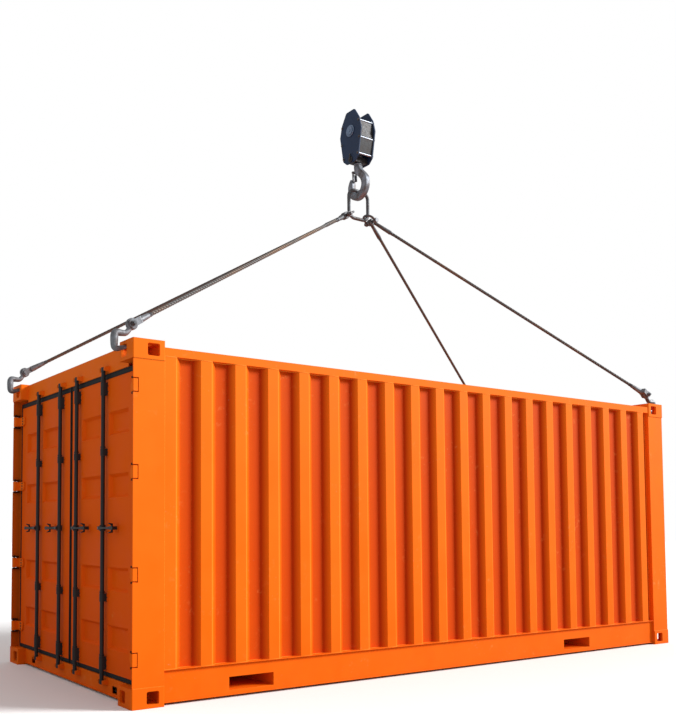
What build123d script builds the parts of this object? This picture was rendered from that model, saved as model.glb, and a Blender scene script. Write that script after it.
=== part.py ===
from build123d import *
import math
import os

# A twenty-foot steel shipping container with a four-leg rope sling and the crane's hook block.
# All sizes are millimetres. X runs from the door end to the closed end, Y across, Z up.
# The origin is on the ground under the middle of the container.

# Overall size of the container
LENGTH = 6058.0
WIDTH = 2438.0
HEIGHT = 2438.0

# Corner castings
CASTING_LENGTH = 242.0
CASTING_WIDTH = 212.0
CASTING_HEIGHT = 134.0
CASTING_WALL = 22.0
CASTING_ROUND = 8.0
SIDE_APERTURE = (92.0, 84.0)
SIDE_APERTURE_AT = 155.0
END_APERTURE = (84.0, 84.0)
END_APERTURE_AT = 140.0
DECK_APERTURE = (140.0, 76.0)

# Frame of posts, rails, header and sill
SKIN_INSET = 6.0
POST_DEPTH = 110.0
POST_WALL = 6.0
LIP_THICKNESS = 8.0
DOOR_STOP_AT = 128.0
HEADER_BOTTOM_DROP = 156.0
HEADER_TOP_DROP = 6.0
HEADER_DEPTH = 80.0
HEADER_STOP_DROP = 32.0
SILL_BOTTOM = 15.0
FRAME_PLATE = 6.0
TIE_HOLE = (80.0, 50.0)
TIE_HOLE_AT = (410.0, 60.0)
TOP_RAIL_DROP = 42.0
TOP_RAIL_SIZE = 58.0
TOP_RAIL_WALL = 4.0
TOP_RAIL_INSET = 8.0
BASE_RAIL_TOP = 238.0
BASE_RAIL_BOTTOM = 18.0
BASE_RAIL_PLATE = 5.0
BASE_RAIL_WEB_AT = 30.0
BASE_RAIL_FLANGE = 50.0
BASE_RAIL_LIP = 10.0

# Corrugated sheets
SHEET = 2.0
WALL_PITCH = 284.0
WALL_CREST = 91.0
WALL_SLOPE = 51.0
WALL_DEPTH = 41.0
WALL_INSET = 10.0
FRONT_PITCH = 250.0
FRONT_CREST = 110.0
FRONT_SLOPE = 18.0
FRONT_DEPTH = 45.0
FRONT_INSET = 20.0
ROOF_PITCH = 209.0
ROOF_MARGIN = 120.0
ROOF_RIB = 130.0
ROOF_RIB_HEIGHT = 18.0
ROOF_RIB_ANGLE = 50.0
ROOF_RIB_MARGIN = 90.0
ROOF_DROP = 48.0

# Floor, cross members and fork pockets
FLOOR_TOP = 176.0
FLOOR_THICKNESS = 28.0
DECK_EDGE = 60.0
DECK_ROWS = 5
DECK_JOINT = 3.0
DECK_END_GAP = 8.0
STOP_DEPTH = 10.0
MEMBER_PITCH = 290.0
MEMBER_FLANGE = 45.0
MEMBER_PLATE = 4.0
MEMBER_BOTTOM = 24.0
MEMBER_START = 20.0
MEMBER_CLEARANCE = 4.0
MEMBER_BESIDE_POCKET = 12.0
MEMBER_LEAST_GAP = 72.0
POCKET_CENTRES = (955.0, 4612.0)
POCKET_WIDTH = 378.0
POCKET_HEIGHT = 90.0
POCKET_BOTTOM = 52.0
POCKET_PLATE = 5.0

# Doors
FACE_AT = 70.0
LEAF_DEPTH = 50.0
LEAF_SKIN = 3.0
LEAF_HINGE_EDGE = 75.0
LEAF_MIDDLE_EDGE = 18.0
LEAF_BOTTOM = 168.0
LEAF_TOP_GAP = 41.0
LEAF_RETURN = 45.0
GASKET_HINGE_EDGE = 58.0
GASKET_MIDDLE_EDGE = 5.0
GASKET_BOTTOM = 140.0
GASKET_TOP_GAP = 5.0
GASKET_DEPTH = 20.0
GASKET_PROUD = 2.0
PAN_DROPS = (522.0, 964.0)
PAN_RISES = (820.0, 416.0)
PAN_HEIGHT = 168.0
PAN_COLUMNS = ((205.0, 525.0), (590.0, 1010.0))
PAN_DEPTH = 24.0
PAN_SLOPE_ANGLE = 40.0

# Hinges
HINGE_DROPS = (314.0, 890.0)
HINGE_RISES = (872.0, 319.0)
PIN_AT = (22.0, 24.0)
PIN_RADIUS = 8.0
PIN_CLEARANCE = 0.1
PIN_HEAD = (9.5, 4.0)
KNUCKLE_RADIUS = 16.0
KNUCKLE_HEIGHT = 84.0
KNUCKLE_FACE = (8.0, 41.0)
LUG_HEIGHT = 14.0
LUG_GAP = 3.0
LUG_FRONT = 8.0
LUG_LAP = 14.0
NOTCH_HEIGHT = 100.0
NOTCH_DEPTH = 46.0
STRAP_THICKNESS = 12.0
STRAP_REACH = 150.0
STRAP_HEIGHT = 76.0
STRAP_CORNER = 22.8
STRAP_FOOT_MARGINS = (6.0, 30.0)

# Lock rods, cams, keepers, guides and handles
ROD_PLACES = (560.0, 1050.0)
ROD_AT = 40.0
ROD_RADIUS = 15.0
ROD_BOTTOM = 84.0
ROD_OVER_HEADER = 44.0
CAM_HALF_WIDTH = 26.0
CAM_HALF_DEPTH = 11.0
CAM_HEIGHT = 30.0
CAM_SLOPE = (8.0, 4.0)
COLLAR_GAP = 4.0
COLLAR_HEIGHT = 12.0
COLLAR_PROUD = 4.0
KEEPER_GAP = 8.0
KEEPER_THICKNESS = 12.0
KEEPER_HEIGHT = 44.0
KEEPER_REACH = 14.0
KEEPER_CUT = 10.0
GUIDE_DROPS = ((314.0, 93.0), (746.0, 50.0))
GUIDE_RISES = ((660.0, 56.0), (184.0, 93.0))
GUIDE_WIDTH = 52.0
GUIDE_CAP = 8.0
GUIDE_ROUND = 10.0
GUIDE_CLEARANCE = 0.3
HANDLE_LEVEL = 1178.0
HANDLE_LENGTH = 236.0
HANDLE_HALF_HEIGHT = 13.0
HANDLE_THICKNESS = 12.0
HANDLE_FRONT = 6.0
HANDLE_WAIST = 5.0
HANDLE_HEEL = 14.0
HANDLE_WAIST_SPAN = (40.0, 80.0)
HANDLE_NOSE = 16.0
HANDLE_NECK = (24.0, 2.0)
CLAMP_HEIGHT = 44.0
CLAMP_WALL = 7.0
CATCH_OFFSET = 180.0
CATCH_WIDTH = 36.0
CATCH_GAP = 8.0
CATCH_EAR = 12.0

# Sling: end hooks
HOOK_SEAT_GAP = 0.3
HOOK_NOSE_RADIUS = 13.0
HOOK_SECTIONS = ((0.0, 13.0), (0.25, 18.0), (0.5, 21.0), (0.75, 18.0), (1.0, 17.0))
HOOK_OUT = 68.0
HOOK_SAG = 26.0
HOOK_NOSE_IN = 26.0
HOOK_NECK = (26.0, 50.0)
HOOK_BEND_RADIUS = 46.0
HOOK_NECK_RADIUS = 24.0
HOOK_THICKNESS = 32.0
HOOK_CHAMFER = 5.0
HOOK_EYE = (58.0, 120.0)
HOOK_EYE_RADIUS = 36.0
CLEVIS_PIN_RADIUS = 12.0
CLEVIS_CLEARANCE = 0.3
CLEVIS_SIDE_GAP = 4.0
CLEVIS_EAR = 13.0
CLEVIS_HEAD = (19.0, 10.0)
CLEVIS_PIN_PROUD = 5.0

# Sling: ropes
ROPE_RADIUS = 14.0
SOCKET_RADIUS = 26.0
SOCKET_LENGTH = 190.0
SPLICE_LENGTH = 210.0
SOCKET_FOOT_PROUD = 4.0
FERRULE_PROUD = (6.0, 2.0)
FERRULE_LAP = 5.0
FORK_RADIUS = 32.0
FORK_ARM_MARGIN = 8.0
YOKE = (32.0, 12.0)
EYE_RADIUS = 34.0
EYE_THICKNESS = 24.0
EYE_OFFSET = 14.0
EYE_SIDE_CLEARANCE = 2.0

# Sling: master link and shackles. The link's sizes are those of its bar's centre line.
SLING_RISE = 1748.5
LINK_BAR_RADIUS = 16.5
LINK_HALF_WIDTH = 120.0
LINK_HEIGHT = 277.0
LINK_CORNER = 70.0
PULL_ANGLE = 30.0
SHACKLE_BAR_RADIUS = 11.0
SHACKLE_PIN_RADIUS = 14.0
SHACKLE_BOW_RADIUS = 60.0
SHACKLE_STRAIGHT = 34.0
SHACKLE_BOSS_RADIUS = 24.0
SHACKLE_BOSS_THICKNESS = 27.0

# Crane hook and block. Its outline's curves are given across and up from the bowl's edges and middle.
BOWL_RADIUS = 65.0
BOWL_THICKNESS = 73.0
BOWL_SHIFT = 5.0
HOOK_BACK_WIDTH = 74.0
HOOK_TIP_WIDTH = 66.0
HOOK_BACK_OUTSIDE = ((-72.0, 140.0), (8.0, 60.0))
HOOK_BACK_INSIDE = ((22.0, 62.0), (8.0, 120.0))
HOOK_TIP_CURVE = ((-14.0, 56.0), (-42.0, 92.0), (-58.0, 76.0), (2.0, 40.0))
NECK_HALF_WIDTH = 36.0
SHANK_RADIUS = 26.0
SHANK_CLEARANCE = 0.1
CRANE_HOOK_THICKNESS = 60.0
CRANE_HOOK_ROUND = 14.0
LATCH_PIN_OVER_LINK = (52.0, 200.5)
LATCH_TIP_OVER_LINK = (48.0, 116.5)
LATCH_PIN_RADIUS = 5.0
LATCH_WIDTH = 48.0
LATCH_THICKNESS = 6.0
LATCH_EAR_RADIUS = 13.0
LATCH_PIN_PROUD = 4.0
LATCH_SIDE_GAP = 1.0
LATCH_LUG_INSET = 2.0
LATCH_PLATE_INSET = 3.0
LATCH_ROOM = (36.0, 39.0)
SHANK_LAP = 10.0
BLOCK_OVER_LINK = 264.5
HOOK_DROP = 4.0
BLOCK_OUTLINE = ((62.0, 0.0), (112.0, 46.0), (156.0, 300.0), (128.0, 410.0), (60.0, 518.0))
CHEEK_INNER = 81.0
CHEEK_THICKNESS = 12.0
CHEEK_ROUND = 24.0
CROSSHEAD_HALF_DEPTH = 48.0
CROSSHEAD_HEIGHT = 50.0
CROSSHEAD_LIFT = 8.0
NUT_RADIUS = 44.0
NUT_HEIGHT = 34.0
SHEAVE_RISE = 318.0
SHEAVE_RADIUS = 122.0
SHEAVE_THICKNESS = 44.0
SHEAVE_HUB = 60.0
SHEAVE_WEB = 28.0
SHEAVE_RIM = (12.0, 4.0)
SHEAVE_FLARE = 6.0
SHEAVE_PLACES = (-34.0, 34.0)
GROOVE_RADIUS = 15.0
AXLE_RADIUS = 22.0
AXLE_CLEARANCE = 0.1
AXLE_BOSS_RADIUS = 40.0
AXLE_BOSS_THICKNESS = 14.0
TIE_RISES = (67.0, 217.0, 387.0)
TIE_RADIUS = 9.0
TIE_INSET = 14.0
GUARD_GAP = 3.0
GUARD_THICKNESS = 5.0
BOSS_SEAT_GAP = 0.3

DOOR_END = -LENGTH / 2
CLOSED_END = LENGTH / 2
RIGHT_SIDE = -WIDTH / 2
TOP_CASTING_BOTTOM = HEIGHT - CASTING_HEIGHT
HEADER_BOTTOM = HEIGHT - HEADER_BOTTOM_DROP
HEADER_TOP = HEIGHT - HEADER_TOP_DROP
TOP_RAIL_TOP = HEIGHT - TOP_RAIL_DROP
ROOF_TOP = HEIGHT - ROOF_DROP
LEAF_TOP = HEADER_BOTTOM - LEAF_TOP_GAP
GASKET_TOP = HEADER_BOTTOM - GASKET_TOP_GAP
ROD_TOP = HEADER_BOTTOM + ROD_OVER_HEADER
HINGE_LEVELS = [HEIGHT - drop for drop in HINGE_DROPS] + list(HINGE_RISES)
PAN_LEVELS = [HEIGHT - drop for drop in PAN_DROPS] + list(PAN_RISES)
GUIDE_LEVELS = [(HEIGHT - drop, tall) for drop, tall in GUIDE_DROPS] + list(GUIDE_RISES)
LINK_BOTTOM = HEIGHT + SLING_RISE
LINK_TOP = LINK_BOTTOM + LINK_HEIGHT
LATCH_PIN_AT = (LATCH_PIN_OVER_LINK[0], LINK_TOP + LATCH_PIN_OVER_LINK[1])
LATCH_TIP_AT = (LATCH_TIP_OVER_LINK[0], LINK_TOP + LATCH_TIP_OVER_LINK[1])
BLOCK_BOTTOM = LINK_TOP + BLOCK_OVER_LINK
SHEAVE_CENTRE = BLOCK_BOTTOM + SHEAVE_RISE
TIE_LEVELS = [BLOCK_BOTTOM + rise for rise in TIE_RISES]


def block(x, y, z):
    """A plain block from three pairs: distances from the door end, from the right side and from the ground."""
    size = Box(x[1] - x[0], y[1] - y[0], z[1] - z[0], align=(Align.MIN, Align.MIN, Align.MIN))
    return Pos(DOOR_END + x[0], RIGHT_SIDE + y[0], z[0]) * size


def upright(x, y, z, radius):
    """A vertical round bar, placed as block is."""
    bar = Cylinder(radius, z[1] - z[0], align=(Align.CENTER, Align.CENTER, Align.MIN))
    return Pos(DOOR_END + x, RIGHT_SIDE + y, z[0]) * bar


def other_side(shape):
    return mirror(shape, about=Plane.XZ)


def other_end(shape):
    return mirror(shape, about=Plane.YZ)


def group(shapes):
    """Solids that share a node and don't touch."""
    return Compound(children=[solid for shape in shapes for solid in shape.solids()])


def four_corners(shape):
    return [shape, other_side(shape), other_end(shape), other_end(other_side(shape))]


def top_casting():
    """Hollow cast fitting at the door end's right top corner, open at the top, the side and the end."""
    z = (TOP_CASTING_BOTTOM, HEIGHT)
    middle = (z[0] + z[1]) / 2
    body = block((0, CASTING_LENGTH), (0, CASTING_WIDTH), z)
    body = fillet(body.edges().filter_by(Axis.Z), CASTING_ROUND)
    body -= block((CASTING_WALL, CASTING_LENGTH - CASTING_WALL), (CASTING_WALL, CASTING_WIDTH - CASTING_WALL),
                  (z[0] + CASTING_WALL, z[1] - CASTING_WALL))
    deck = Plane.XY.offset(z[1]) * Pos(DOOR_END + CASTING_LENGTH / 2, RIGHT_SIDE + CASTING_WIDTH / 2)
    body -= extrude(deck * SlotOverall(*DECK_APERTURE), amount=-1.5 * CASTING_WALL)
    side = Plane(origin=(DOOR_END + SIDE_APERTURE_AT, RIGHT_SIDE, middle), x_dir=(1, 0, 0), z_dir=(0, -1, 0))
    body -= extrude(side * RectangleRounded(*SIDE_APERTURE, 12), amount=-1.5 * CASTING_WALL)
    end = Plane(origin=(DOOR_END, RIGHT_SIDE + END_APERTURE_AT, middle), x_dir=(0, 1, 0), z_dir=(-1, 0, 0))
    body -= extrude(end * RectangleRounded(*END_APERTURE, 12), amount=-1.5 * CASTING_WALL)
    return body


def bottom_casting():
    return mirror(top_casting(), about=Plane.XY.offset(HEIGHT / 2))


def post_height():
    return (CASTING_HEIGHT, TOP_CASTING_BOTTOM)


def rear_post():
    """Right rear post: a hollow box that the door shuts against, with a lip beside the door's edge."""
    z = post_height()
    box = block((DOOR_STOP_AT, CASTING_LENGTH), (SKIN_INSET, POST_DEPTH), z)
    box -= block((DOOR_STOP_AT + POST_WALL, CASTING_LENGTH - POST_WALL),
                 (SKIN_INSET + POST_WALL, POST_DEPTH - POST_WALL), z)
    lip = SKIN_INSET + LIP_THICKNESS
    post = box + block((SKIN_INSET, DOOR_STOP_AT), (SKIN_INSET, lip), z)
    for level in HINGE_LEVELS:
        post -= block((0, NOTCH_DEPTH), (0, lip), (level - NOTCH_HEIGHT / 2, level + NOTCH_HEIGHT / 2))
        for lug in lug_spans(level):
            post += block((LUG_FRONT, NOTCH_DEPTH + LUG_LAP), (lip, PIN_AT[1] + KNUCKLE_RADIUS), lug)
            post -= upright(*PIN_AT, lug, PIN_RADIUS + PIN_CLEARANCE)
    return post


def lug_spans(level):
    """Heights of the two lugs that hold a hinge pin, above and below the knuckle."""
    reach = KNUCKLE_HEIGHT / 2 + LUG_GAP
    return ((level - reach - LUG_HEIGHT, level - reach), (level + reach, level + reach + LUG_HEIGHT))


def hinge_pin(level):
    lugs = lug_spans(level)
    shank = upright(*PIN_AT, (lugs[0][0], lugs[1][1]), PIN_RADIUS)
    head = upright(*PIN_AT, (lugs[1][1], lugs[1][1] + PIN_HEAD[1]), PIN_HEAD[0])
    return shank + head


def front_post():
    """Right front post: a closed box section."""
    z = post_height()
    x = (LENGTH - CASTING_LENGTH, LENGTH - SKIN_INSET)
    y = (SKIN_INSET, POST_DEPTH)
    wall = POST_WALL
    return block(x, y, z) - block((x[0] + wall, x[1] - wall), (y[0] + wall, y[1] - wall), z)


def between_castings():
    return (CASTING_WIDTH, WIDTH - CASTING_WIDTH)


def door_header():
    """Channel over the doors, with a stop behind the leaves' top edge."""
    y = between_castings()
    back = FACE_AT + HEADER_DEPTH
    web = block((FACE_AT, FACE_AT + FRAME_PLATE), y, (HEADER_BOTTOM, HEADER_TOP))
    top = block((FACE_AT, back), y, (HEADER_TOP - FRAME_PLATE, HEADER_TOP))
    bottom = block((FACE_AT, back), y, (HEADER_BOTTOM, HEADER_BOTTOM + FRAME_PLATE))
    stop = block((DOOR_STOP_AT, DOOR_STOP_AT + FRAME_PLATE), y,
                 (HEADER_BOTTOM - HEADER_STOP_DROP, HEADER_BOTTOM))
    return web + top + bottom + stop


def door_sill():
    """Channel under the doors, with a tie hole near each end."""
    y = between_castings()
    back = DOOR_STOP_AT + STOP_DEPTH
    web = block((FACE_AT, FACE_AT + FRAME_PLATE), y, (SILL_BOTTOM, CASTING_HEIGHT))
    top = block((FACE_AT, back), y, (CASTING_HEIGHT - FRAME_PLATE, CASTING_HEIGHT))
    bottom = block((FACE_AT, back), y, (SILL_BOTTOM, SILL_BOTTOM + FRAME_PLATE))
    stop = block((DOOR_STOP_AT, back), y, (CASTING_HEIGHT, FLOOR_TOP))
    sill = web + top + bottom + stop
    hole = block((FACE_AT, FACE_AT + FRAME_PLATE),
                 (TIE_HOLE_AT[0] - TIE_HOLE[0] / 2, TIE_HOLE_AT[0] + TIE_HOLE[0] / 2),
                 (TIE_HOLE_AT[1] - TIE_HOLE[1] / 2, TIE_HOLE_AT[1] + TIE_HOLE[1] / 2))
    return sill - hole - other_side(hole)


def front_top_rail():
    x = (LENGTH - TOP_RAIL_INSET - TOP_RAIL_SIZE, LENGTH - TOP_RAIL_INSET)
    z = (TOP_RAIL_TOP - TOP_RAIL_SIZE, HEADER_TOP)
    y = between_castings()
    wall = TOP_RAIL_WALL
    return block(x, y, z) - block((x[0] + wall, x[1] - wall), y, (z[0] + wall, z[1] - wall))


def front_base_rail():
    """Channel along the foot of the closed end."""
    y = between_castings()
    outer = LENGTH - TOP_RAIL_INSET
    inner = outer - BASE_RAIL_FLANGE - FRONT_INSET
    web = block((outer - BASE_RAIL_PLATE, outer), y, (BASE_RAIL_BOTTOM, BASE_RAIL_TOP))
    top = block((inner, outer), y, (BASE_RAIL_TOP - BASE_RAIL_PLATE, BASE_RAIL_TOP))
    bottom = block((inner, outer), y, (BASE_RAIL_BOTTOM, BASE_RAIL_BOTTOM + BASE_RAIL_PLATE))
    return web + top + bottom


def along():
    return (CASTING_LENGTH, LENGTH - CASTING_LENGTH)


def top_rail():
    y = (TOP_RAIL_INSET, TOP_RAIL_INSET + TOP_RAIL_SIZE)
    z = (TOP_RAIL_TOP - TOP_RAIL_SIZE, TOP_RAIL_TOP)
    wall = TOP_RAIL_WALL
    return block(along(), y, z) - block(along(), (y[0] + wall, y[1] - wall), (z[0] + wall, z[1] - wall))


def base_rail():
    """Deep side rail with a ledge under the wall, a lip at its foot and the two fork openings."""
    web_y = (BASE_RAIL_WEB_AT, BASE_RAIL_WEB_AT + BASE_RAIL_PLATE)
    web = block(along(), web_y, (BASE_RAIL_BOTTOM, BASE_RAIL_TOP))
    ledge = block(along(), (TOP_RAIL_INSET, TOP_RAIL_INSET + TOP_RAIL_SIZE),
                  (BASE_RAIL_TOP - BASE_RAIL_PLATE, BASE_RAIL_TOP))
    foot = block(along(), (BASE_RAIL_WEB_AT - BASE_RAIL_LIP, BASE_RAIL_WEB_AT + BASE_RAIL_FLANGE),
                 (BASE_RAIL_BOTTOM, BASE_RAIL_BOTTOM + BASE_RAIL_PLATE))
    rail = web + ledge + foot
    for centre in POCKET_CENTRES:
        rail -= block((centre - POCKET_WIDTH / 2, centre + POCKET_WIDTH / 2), web_y,
                      (POCKET_BOTTOM, POCKET_BOTTOM + POCKET_HEIGHT))
    return rail


def wave(start, stop, pitch, crest, slope, depth):
    """Points of a corrugated sheet's outer line: distance along, distance in. It starts on a crest."""
    points = [(start, 0.0)]
    place = start
    while place + crest + slope < stop:
        points += [(place + crest, 0.0), (place + crest + slope, depth)]
        rise = place + pitch - slope
        if rise + slope + crest * 0.3 > stop:
            break
        points += [(rise, depth), (place + pitch, 0.0)]
        place += pitch
    points.append((stop, points[-1][1]))
    return points


def sheet_face(line, thickness):
    """A closed outline: the line, and the same line one thickness further in."""
    inner = [(a, b + thickness) for a, b in reversed(line)]
    return make_face(Polyline(*line, *inner, close=True))


def side_wall():
    """Corrugated sheet between the rails and posts of the right side."""
    line = wave(*along(), WALL_PITCH, WALL_CREST, WALL_SLOPE, WALL_DEPTH)
    placed = [(DOOR_END + a, RIGHT_SIDE + WALL_INSET + b) for a, b in line]
    face = sheet_face(placed, SHEET)
    return Pos(0, 0, BASE_RAIL_TOP) * extrude(face, amount=TOP_RAIL_TOP - TOP_RAIL_SIZE - BASE_RAIL_TOP)


def front_wall():
    """Deeper corrugated sheet across the closed end, symmetric about its middle."""
    half = wave(0, (WIDTH / 2) - POST_DEPTH, FRONT_PITCH, FRONT_CREST, FRONT_SLOPE, FRONT_DEPTH)
    right = [(CLOSED_END - FRONT_INSET - b, -a) for a, b in half]
    outer = [(x, -y) for x, y in reversed(right[1:])] + right[1:]
    inner = [(x - SHEET, y) for x, y in reversed(outer)]
    face = make_face(Polyline(*outer, *inner, close=True))
    wall = Pos(0, 0, BASE_RAIL_TOP) * extrude(face, amount=TOP_RAIL_TOP - TOP_RAIL_SIZE - BASE_RAIL_TOP)
    for corner in top_casting_blocks():
        wall -= corner
    return wall


def top_casting_blocks():
    corner = block((LENGTH - CASTING_LENGTH, LENGTH), (0, CASTING_WIDTH), (TOP_CASTING_BOTTOM, HEIGHT))
    return (corner, other_side(corner))


def roof_panel():
    """Flat sheet between the top rails, the header and the front rail, with ribs pressed up out of it."""
    x = (FACE_AT + HEADER_DEPTH, LENGTH - TOP_RAIL_INSET - TOP_RAIL_SIZE)
    y = (TOP_RAIL_INSET + TOP_RAIL_SIZE, WIDTH - TOP_RAIL_INSET - TOP_RAIL_SIZE)
    flat = ROOF_TOP - ROOF_RIB_HEIGHT
    roof = block(x, y, (flat - SHEET, flat))
    span = x[1] - x[0] - 2 * ROOF_MARGIN
    count = int(span // ROOF_PITCH)
    length = y[1] - y[0] - 2 * ROOF_RIB_MARGIN
    rib = extrude(Plane.XY.offset(flat) * Rectangle(ROOF_RIB, length),
                  amount=ROOF_RIB_HEIGHT, taper=ROOF_RIB_ANGLE)
    hollow = extrude(Plane.XY.offset(flat - SHEET) * Rectangle(ROOF_RIB - SHEET, length - SHEET),
                     amount=ROOF_RIB_HEIGHT, taper=ROOF_RIB_ANGLE)
    places = Pos(DOOR_END + (x[0] + x[1]) / 2, 0) * GridLocations(ROOF_PITCH, 1, count, 1)
    roof += [place * rib for place in places]
    roof -= [place * hollow for place in places]
    corner = block((0, CASTING_LENGTH), (0, CASTING_WIDTH), (TOP_CASTING_BOTTOM, HEIGHT))
    for casting in four_corners(corner):
        roof -= casting
    return roof


def floor_deck():
    """Plywood sheets on the cross members, laid with open joints and cut round the corner posts."""
    z = (FLOOR_TOP - FLOOR_THICKNESS, FLOOR_TOP)
    start, finish = DOOR_STOP_AT + STOP_DEPTH, LENGTH - FRONT_INSET - FRONT_DEPTH - DECK_END_GAP
    step = (finish - start) / DECK_ROWS
    half = DECK_JOINT / 2
    sheets = []
    for row in range(DECK_ROWS):
        near = start + row * step + (half if row else 0)
        far = start + (row + 1) * step - (half if row < DECK_ROWS - 1 else 0)
        sheet = block((near, far), (DECK_EDGE, WIDTH / 2 - half), z)
        for place in ((0, CASTING_LENGTH), (LENGTH - CASTING_LENGTH, LENGTH)):
            sheet -= block(place, (0, POST_DEPTH), z)
        sheets += [sheet, other_side(sheet)]
    return group(sheets)


def cross_member(place):
    """One channel across the base, its back towards the door end."""
    y = (BASE_RAIL_WEB_AT + BASE_RAIL_PLATE, WIDTH - BASE_RAIL_WEB_AT - BASE_RAIL_PLATE)
    z = (MEMBER_BOTTOM, FLOOR_TOP - FLOOR_THICKNESS)
    plate = MEMBER_PLATE
    member = block((place, place + MEMBER_FLANGE), y, z)
    return member - block((place + plate, place + MEMBER_FLANGE), y, (z[0] + plate, z[1] - plate))


def member_places():
    """Every pitch along the base that is clear of the fork pockets and the castings."""
    places = []
    place = CASTING_LENGTH + MEMBER_START
    clear = POCKET_WIDTH / 2 + POCKET_PLATE + MEMBER_CLEARANCE
    while place + MEMBER_FLANGE < LENGTH - CASTING_LENGTH:
        if all(place + MEMBER_FLANGE < c - clear or place > c + clear for c in POCKET_CENTRES):
            places.append(place)
        place += MEMBER_PITCH
    for centre in POCKET_CENTRES:
        reach = POCKET_WIDTH / 2 + POCKET_PLATE + MEMBER_BESIDE_POCKET
        for edge in (centre - reach - MEMBER_FLANGE, centre + reach):
            places = [place for place in places if abs(place - edge) > MEMBER_LEAST_GAP] + [edge]
    return sorted(places)


def fork_pocket(centre):
    """A tube right across the base for a lift truck's fork."""
    y = (BASE_RAIL_WEB_AT + BASE_RAIL_PLATE, WIDTH - BASE_RAIL_WEB_AT - BASE_RAIL_PLATE)
    half = POCKET_WIDTH / 2
    bore = block((centre - half, centre + half), y, (POCKET_BOTTOM, POCKET_BOTTOM + POCKET_HEIGHT))
    tube = block((centre - half - POCKET_PLATE, centre + half + POCKET_PLATE), y,
                 (POCKET_BOTTOM - POCKET_PLATE, POCKET_BOTTOM + POCKET_HEIGHT + POCKET_PLATE))
    return tube - bore


def pan(column, level, grow):
    """A recess pressed into the door, as a tapered block; grow makes it larger all round and deeper."""
    width = column[1] - column[0] + 2 * grow
    centre = (column[0] + column[1]) / 2
    start = Plane(origin=(DOOR_END + FACE_AT, RIGHT_SIDE + centre, level), x_dir=(0, 1, 0), z_dir=(1, 0, 0))
    outline = start * Rectangle(width, PAN_HEIGHT + 2 * grow)
    return extrude(outline, amount=PAN_DEPTH + grow, taper=PAN_SLOPE_ANGLE)


def door_leaf():
    """Right door: a pressed skin with sunk panels, folded into a tray with a return all round."""
    y = (LEAF_HINGE_EDGE, WIDTH / 2 - LEAF_MIDDLE_EDGE)
    z = (LEAF_BOTTOM, LEAF_TOP)
    x = (FACE_AT, FACE_AT + LEAF_DEPTH)
    leaf = block(x, y, z)
    wall, fold = LEAF_SKIN, LEAF_RETURN
    leaf -= block((x[0] + wall, x[1] - wall), (y[0] + wall, y[1] - wall), (z[0] + wall, z[1] - wall))
    leaf -= block((x[1] - wall, x[1]), (y[0] + fold, y[1] - fold), (z[0] + fold, z[1] - fold))
    for level in PAN_LEVELS:
        for column in PAN_COLUMNS:
            leaf += pan(column, level, wall)
            leaf -= pan(column, level, 0)
    return leaf


def door_gasket():
    """Black rubber frame round the right leaf."""
    x = (FACE_AT - GASKET_PROUD, FACE_AT + GASKET_DEPTH)
    outer = block(x, (GASKET_HINGE_EDGE, WIDTH / 2 - GASKET_MIDDLE_EDGE), (GASKET_BOTTOM, GASKET_TOP))
    return outer - block(x, (LEAF_HINGE_EDGE, WIDTH / 2 - LEAF_MIDDLE_EDGE), (LEAF_BOTTOM, LEAF_TOP))


def hinge_strap(level):
    """Knuckle in the post's notch, and a cranked strap with a round end on the leaf's face."""
    half = STRAP_HEIGHT / 2
    z = (level - half, level + half)
    whole = (level - KNUCKLE_HEIGHT / 2, level + KNUCKLE_HEIGHT / 2)
    front = FACE_AT - GASKET_PROUD - STRAP_THICKNESS
    inner = PIN_AT[1] + KNUCKLE_RADIUS
    knuckle = upright(*PIN_AT, whole, KNUCKLE_RADIUS)
    knuckle += block(KNUCKLE_FACE, (PIN_AT[1] - KNUCKLE_RADIUS, PIN_AT[1]), whole)
    arm = block((PIN_AT[0], front + STRAP_THICKNESS), (inner - STRAP_THICKNESS, inner), z)
    strap = block((front, front + STRAP_THICKNESS), (inner - STRAP_THICKNESS, STRAP_REACH), z)
    strap = fillet(strap.edges().filter_by(Axis.X).sort_by(Axis.Y)[-2:], STRAP_CORNER)
    foot = block((front + STRAP_THICKNESS, FACE_AT),
                 (LEAF_HINGE_EDGE + STRAP_FOOT_MARGINS[0], STRAP_REACH - STRAP_FOOT_MARGINS[1]), z)
    bore = upright(*PIN_AT, (level - KNUCKLE_HEIGHT, level + KNUCKLE_HEIGHT), PIN_RADIUS + PIN_CLEARANCE)
    return knuckle + arm + strap + foot - bore


def rod_guide(place, bottom, height):
    """A block on the leaf that a lock rod turns in."""
    z = (bottom, bottom + height)
    half = GUIDE_WIDTH / 2
    body = block((ROD_AT - ROD_RADIUS - GUIDE_CAP, FACE_AT), (place - half, place + half), z)
    body = fillet(body.edges().filter_by(Axis.Z).sort_by(Axis.X)[:2], GUIDE_ROUND)
    return body - upright(ROD_AT, place, z, ROD_RADIUS + GUIDE_CLEARANCE)


def handle_catch(place):
    """A bracket on the leaf that the folded handle rests in, with an ear above and below it."""
    centre = place - CATCH_OFFSET
    y = (centre - CATCH_WIDTH / 2, centre + CATCH_WIDTH / 2)
    inner = HANDLE_HALF_HEIGHT + CATCH_GAP
    outer = inner + CATCH_EAR
    seat = block((HANDLE_FRONT + HANDLE_THICKNESS + CATCH_GAP, FACE_AT), y,
                 (HANDLE_LEVEL - outer, HANDLE_LEVEL + outer))
    low = block((HANDLE_FRONT, FACE_AT), y, (HANDLE_LEVEL - outer, HANDLE_LEVEL - inner))
    high = block((HANDLE_FRONT, FACE_AT), y, (HANDLE_LEVEL + inner, HANDLE_LEVEL + outer))
    return seat + low + high


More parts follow.
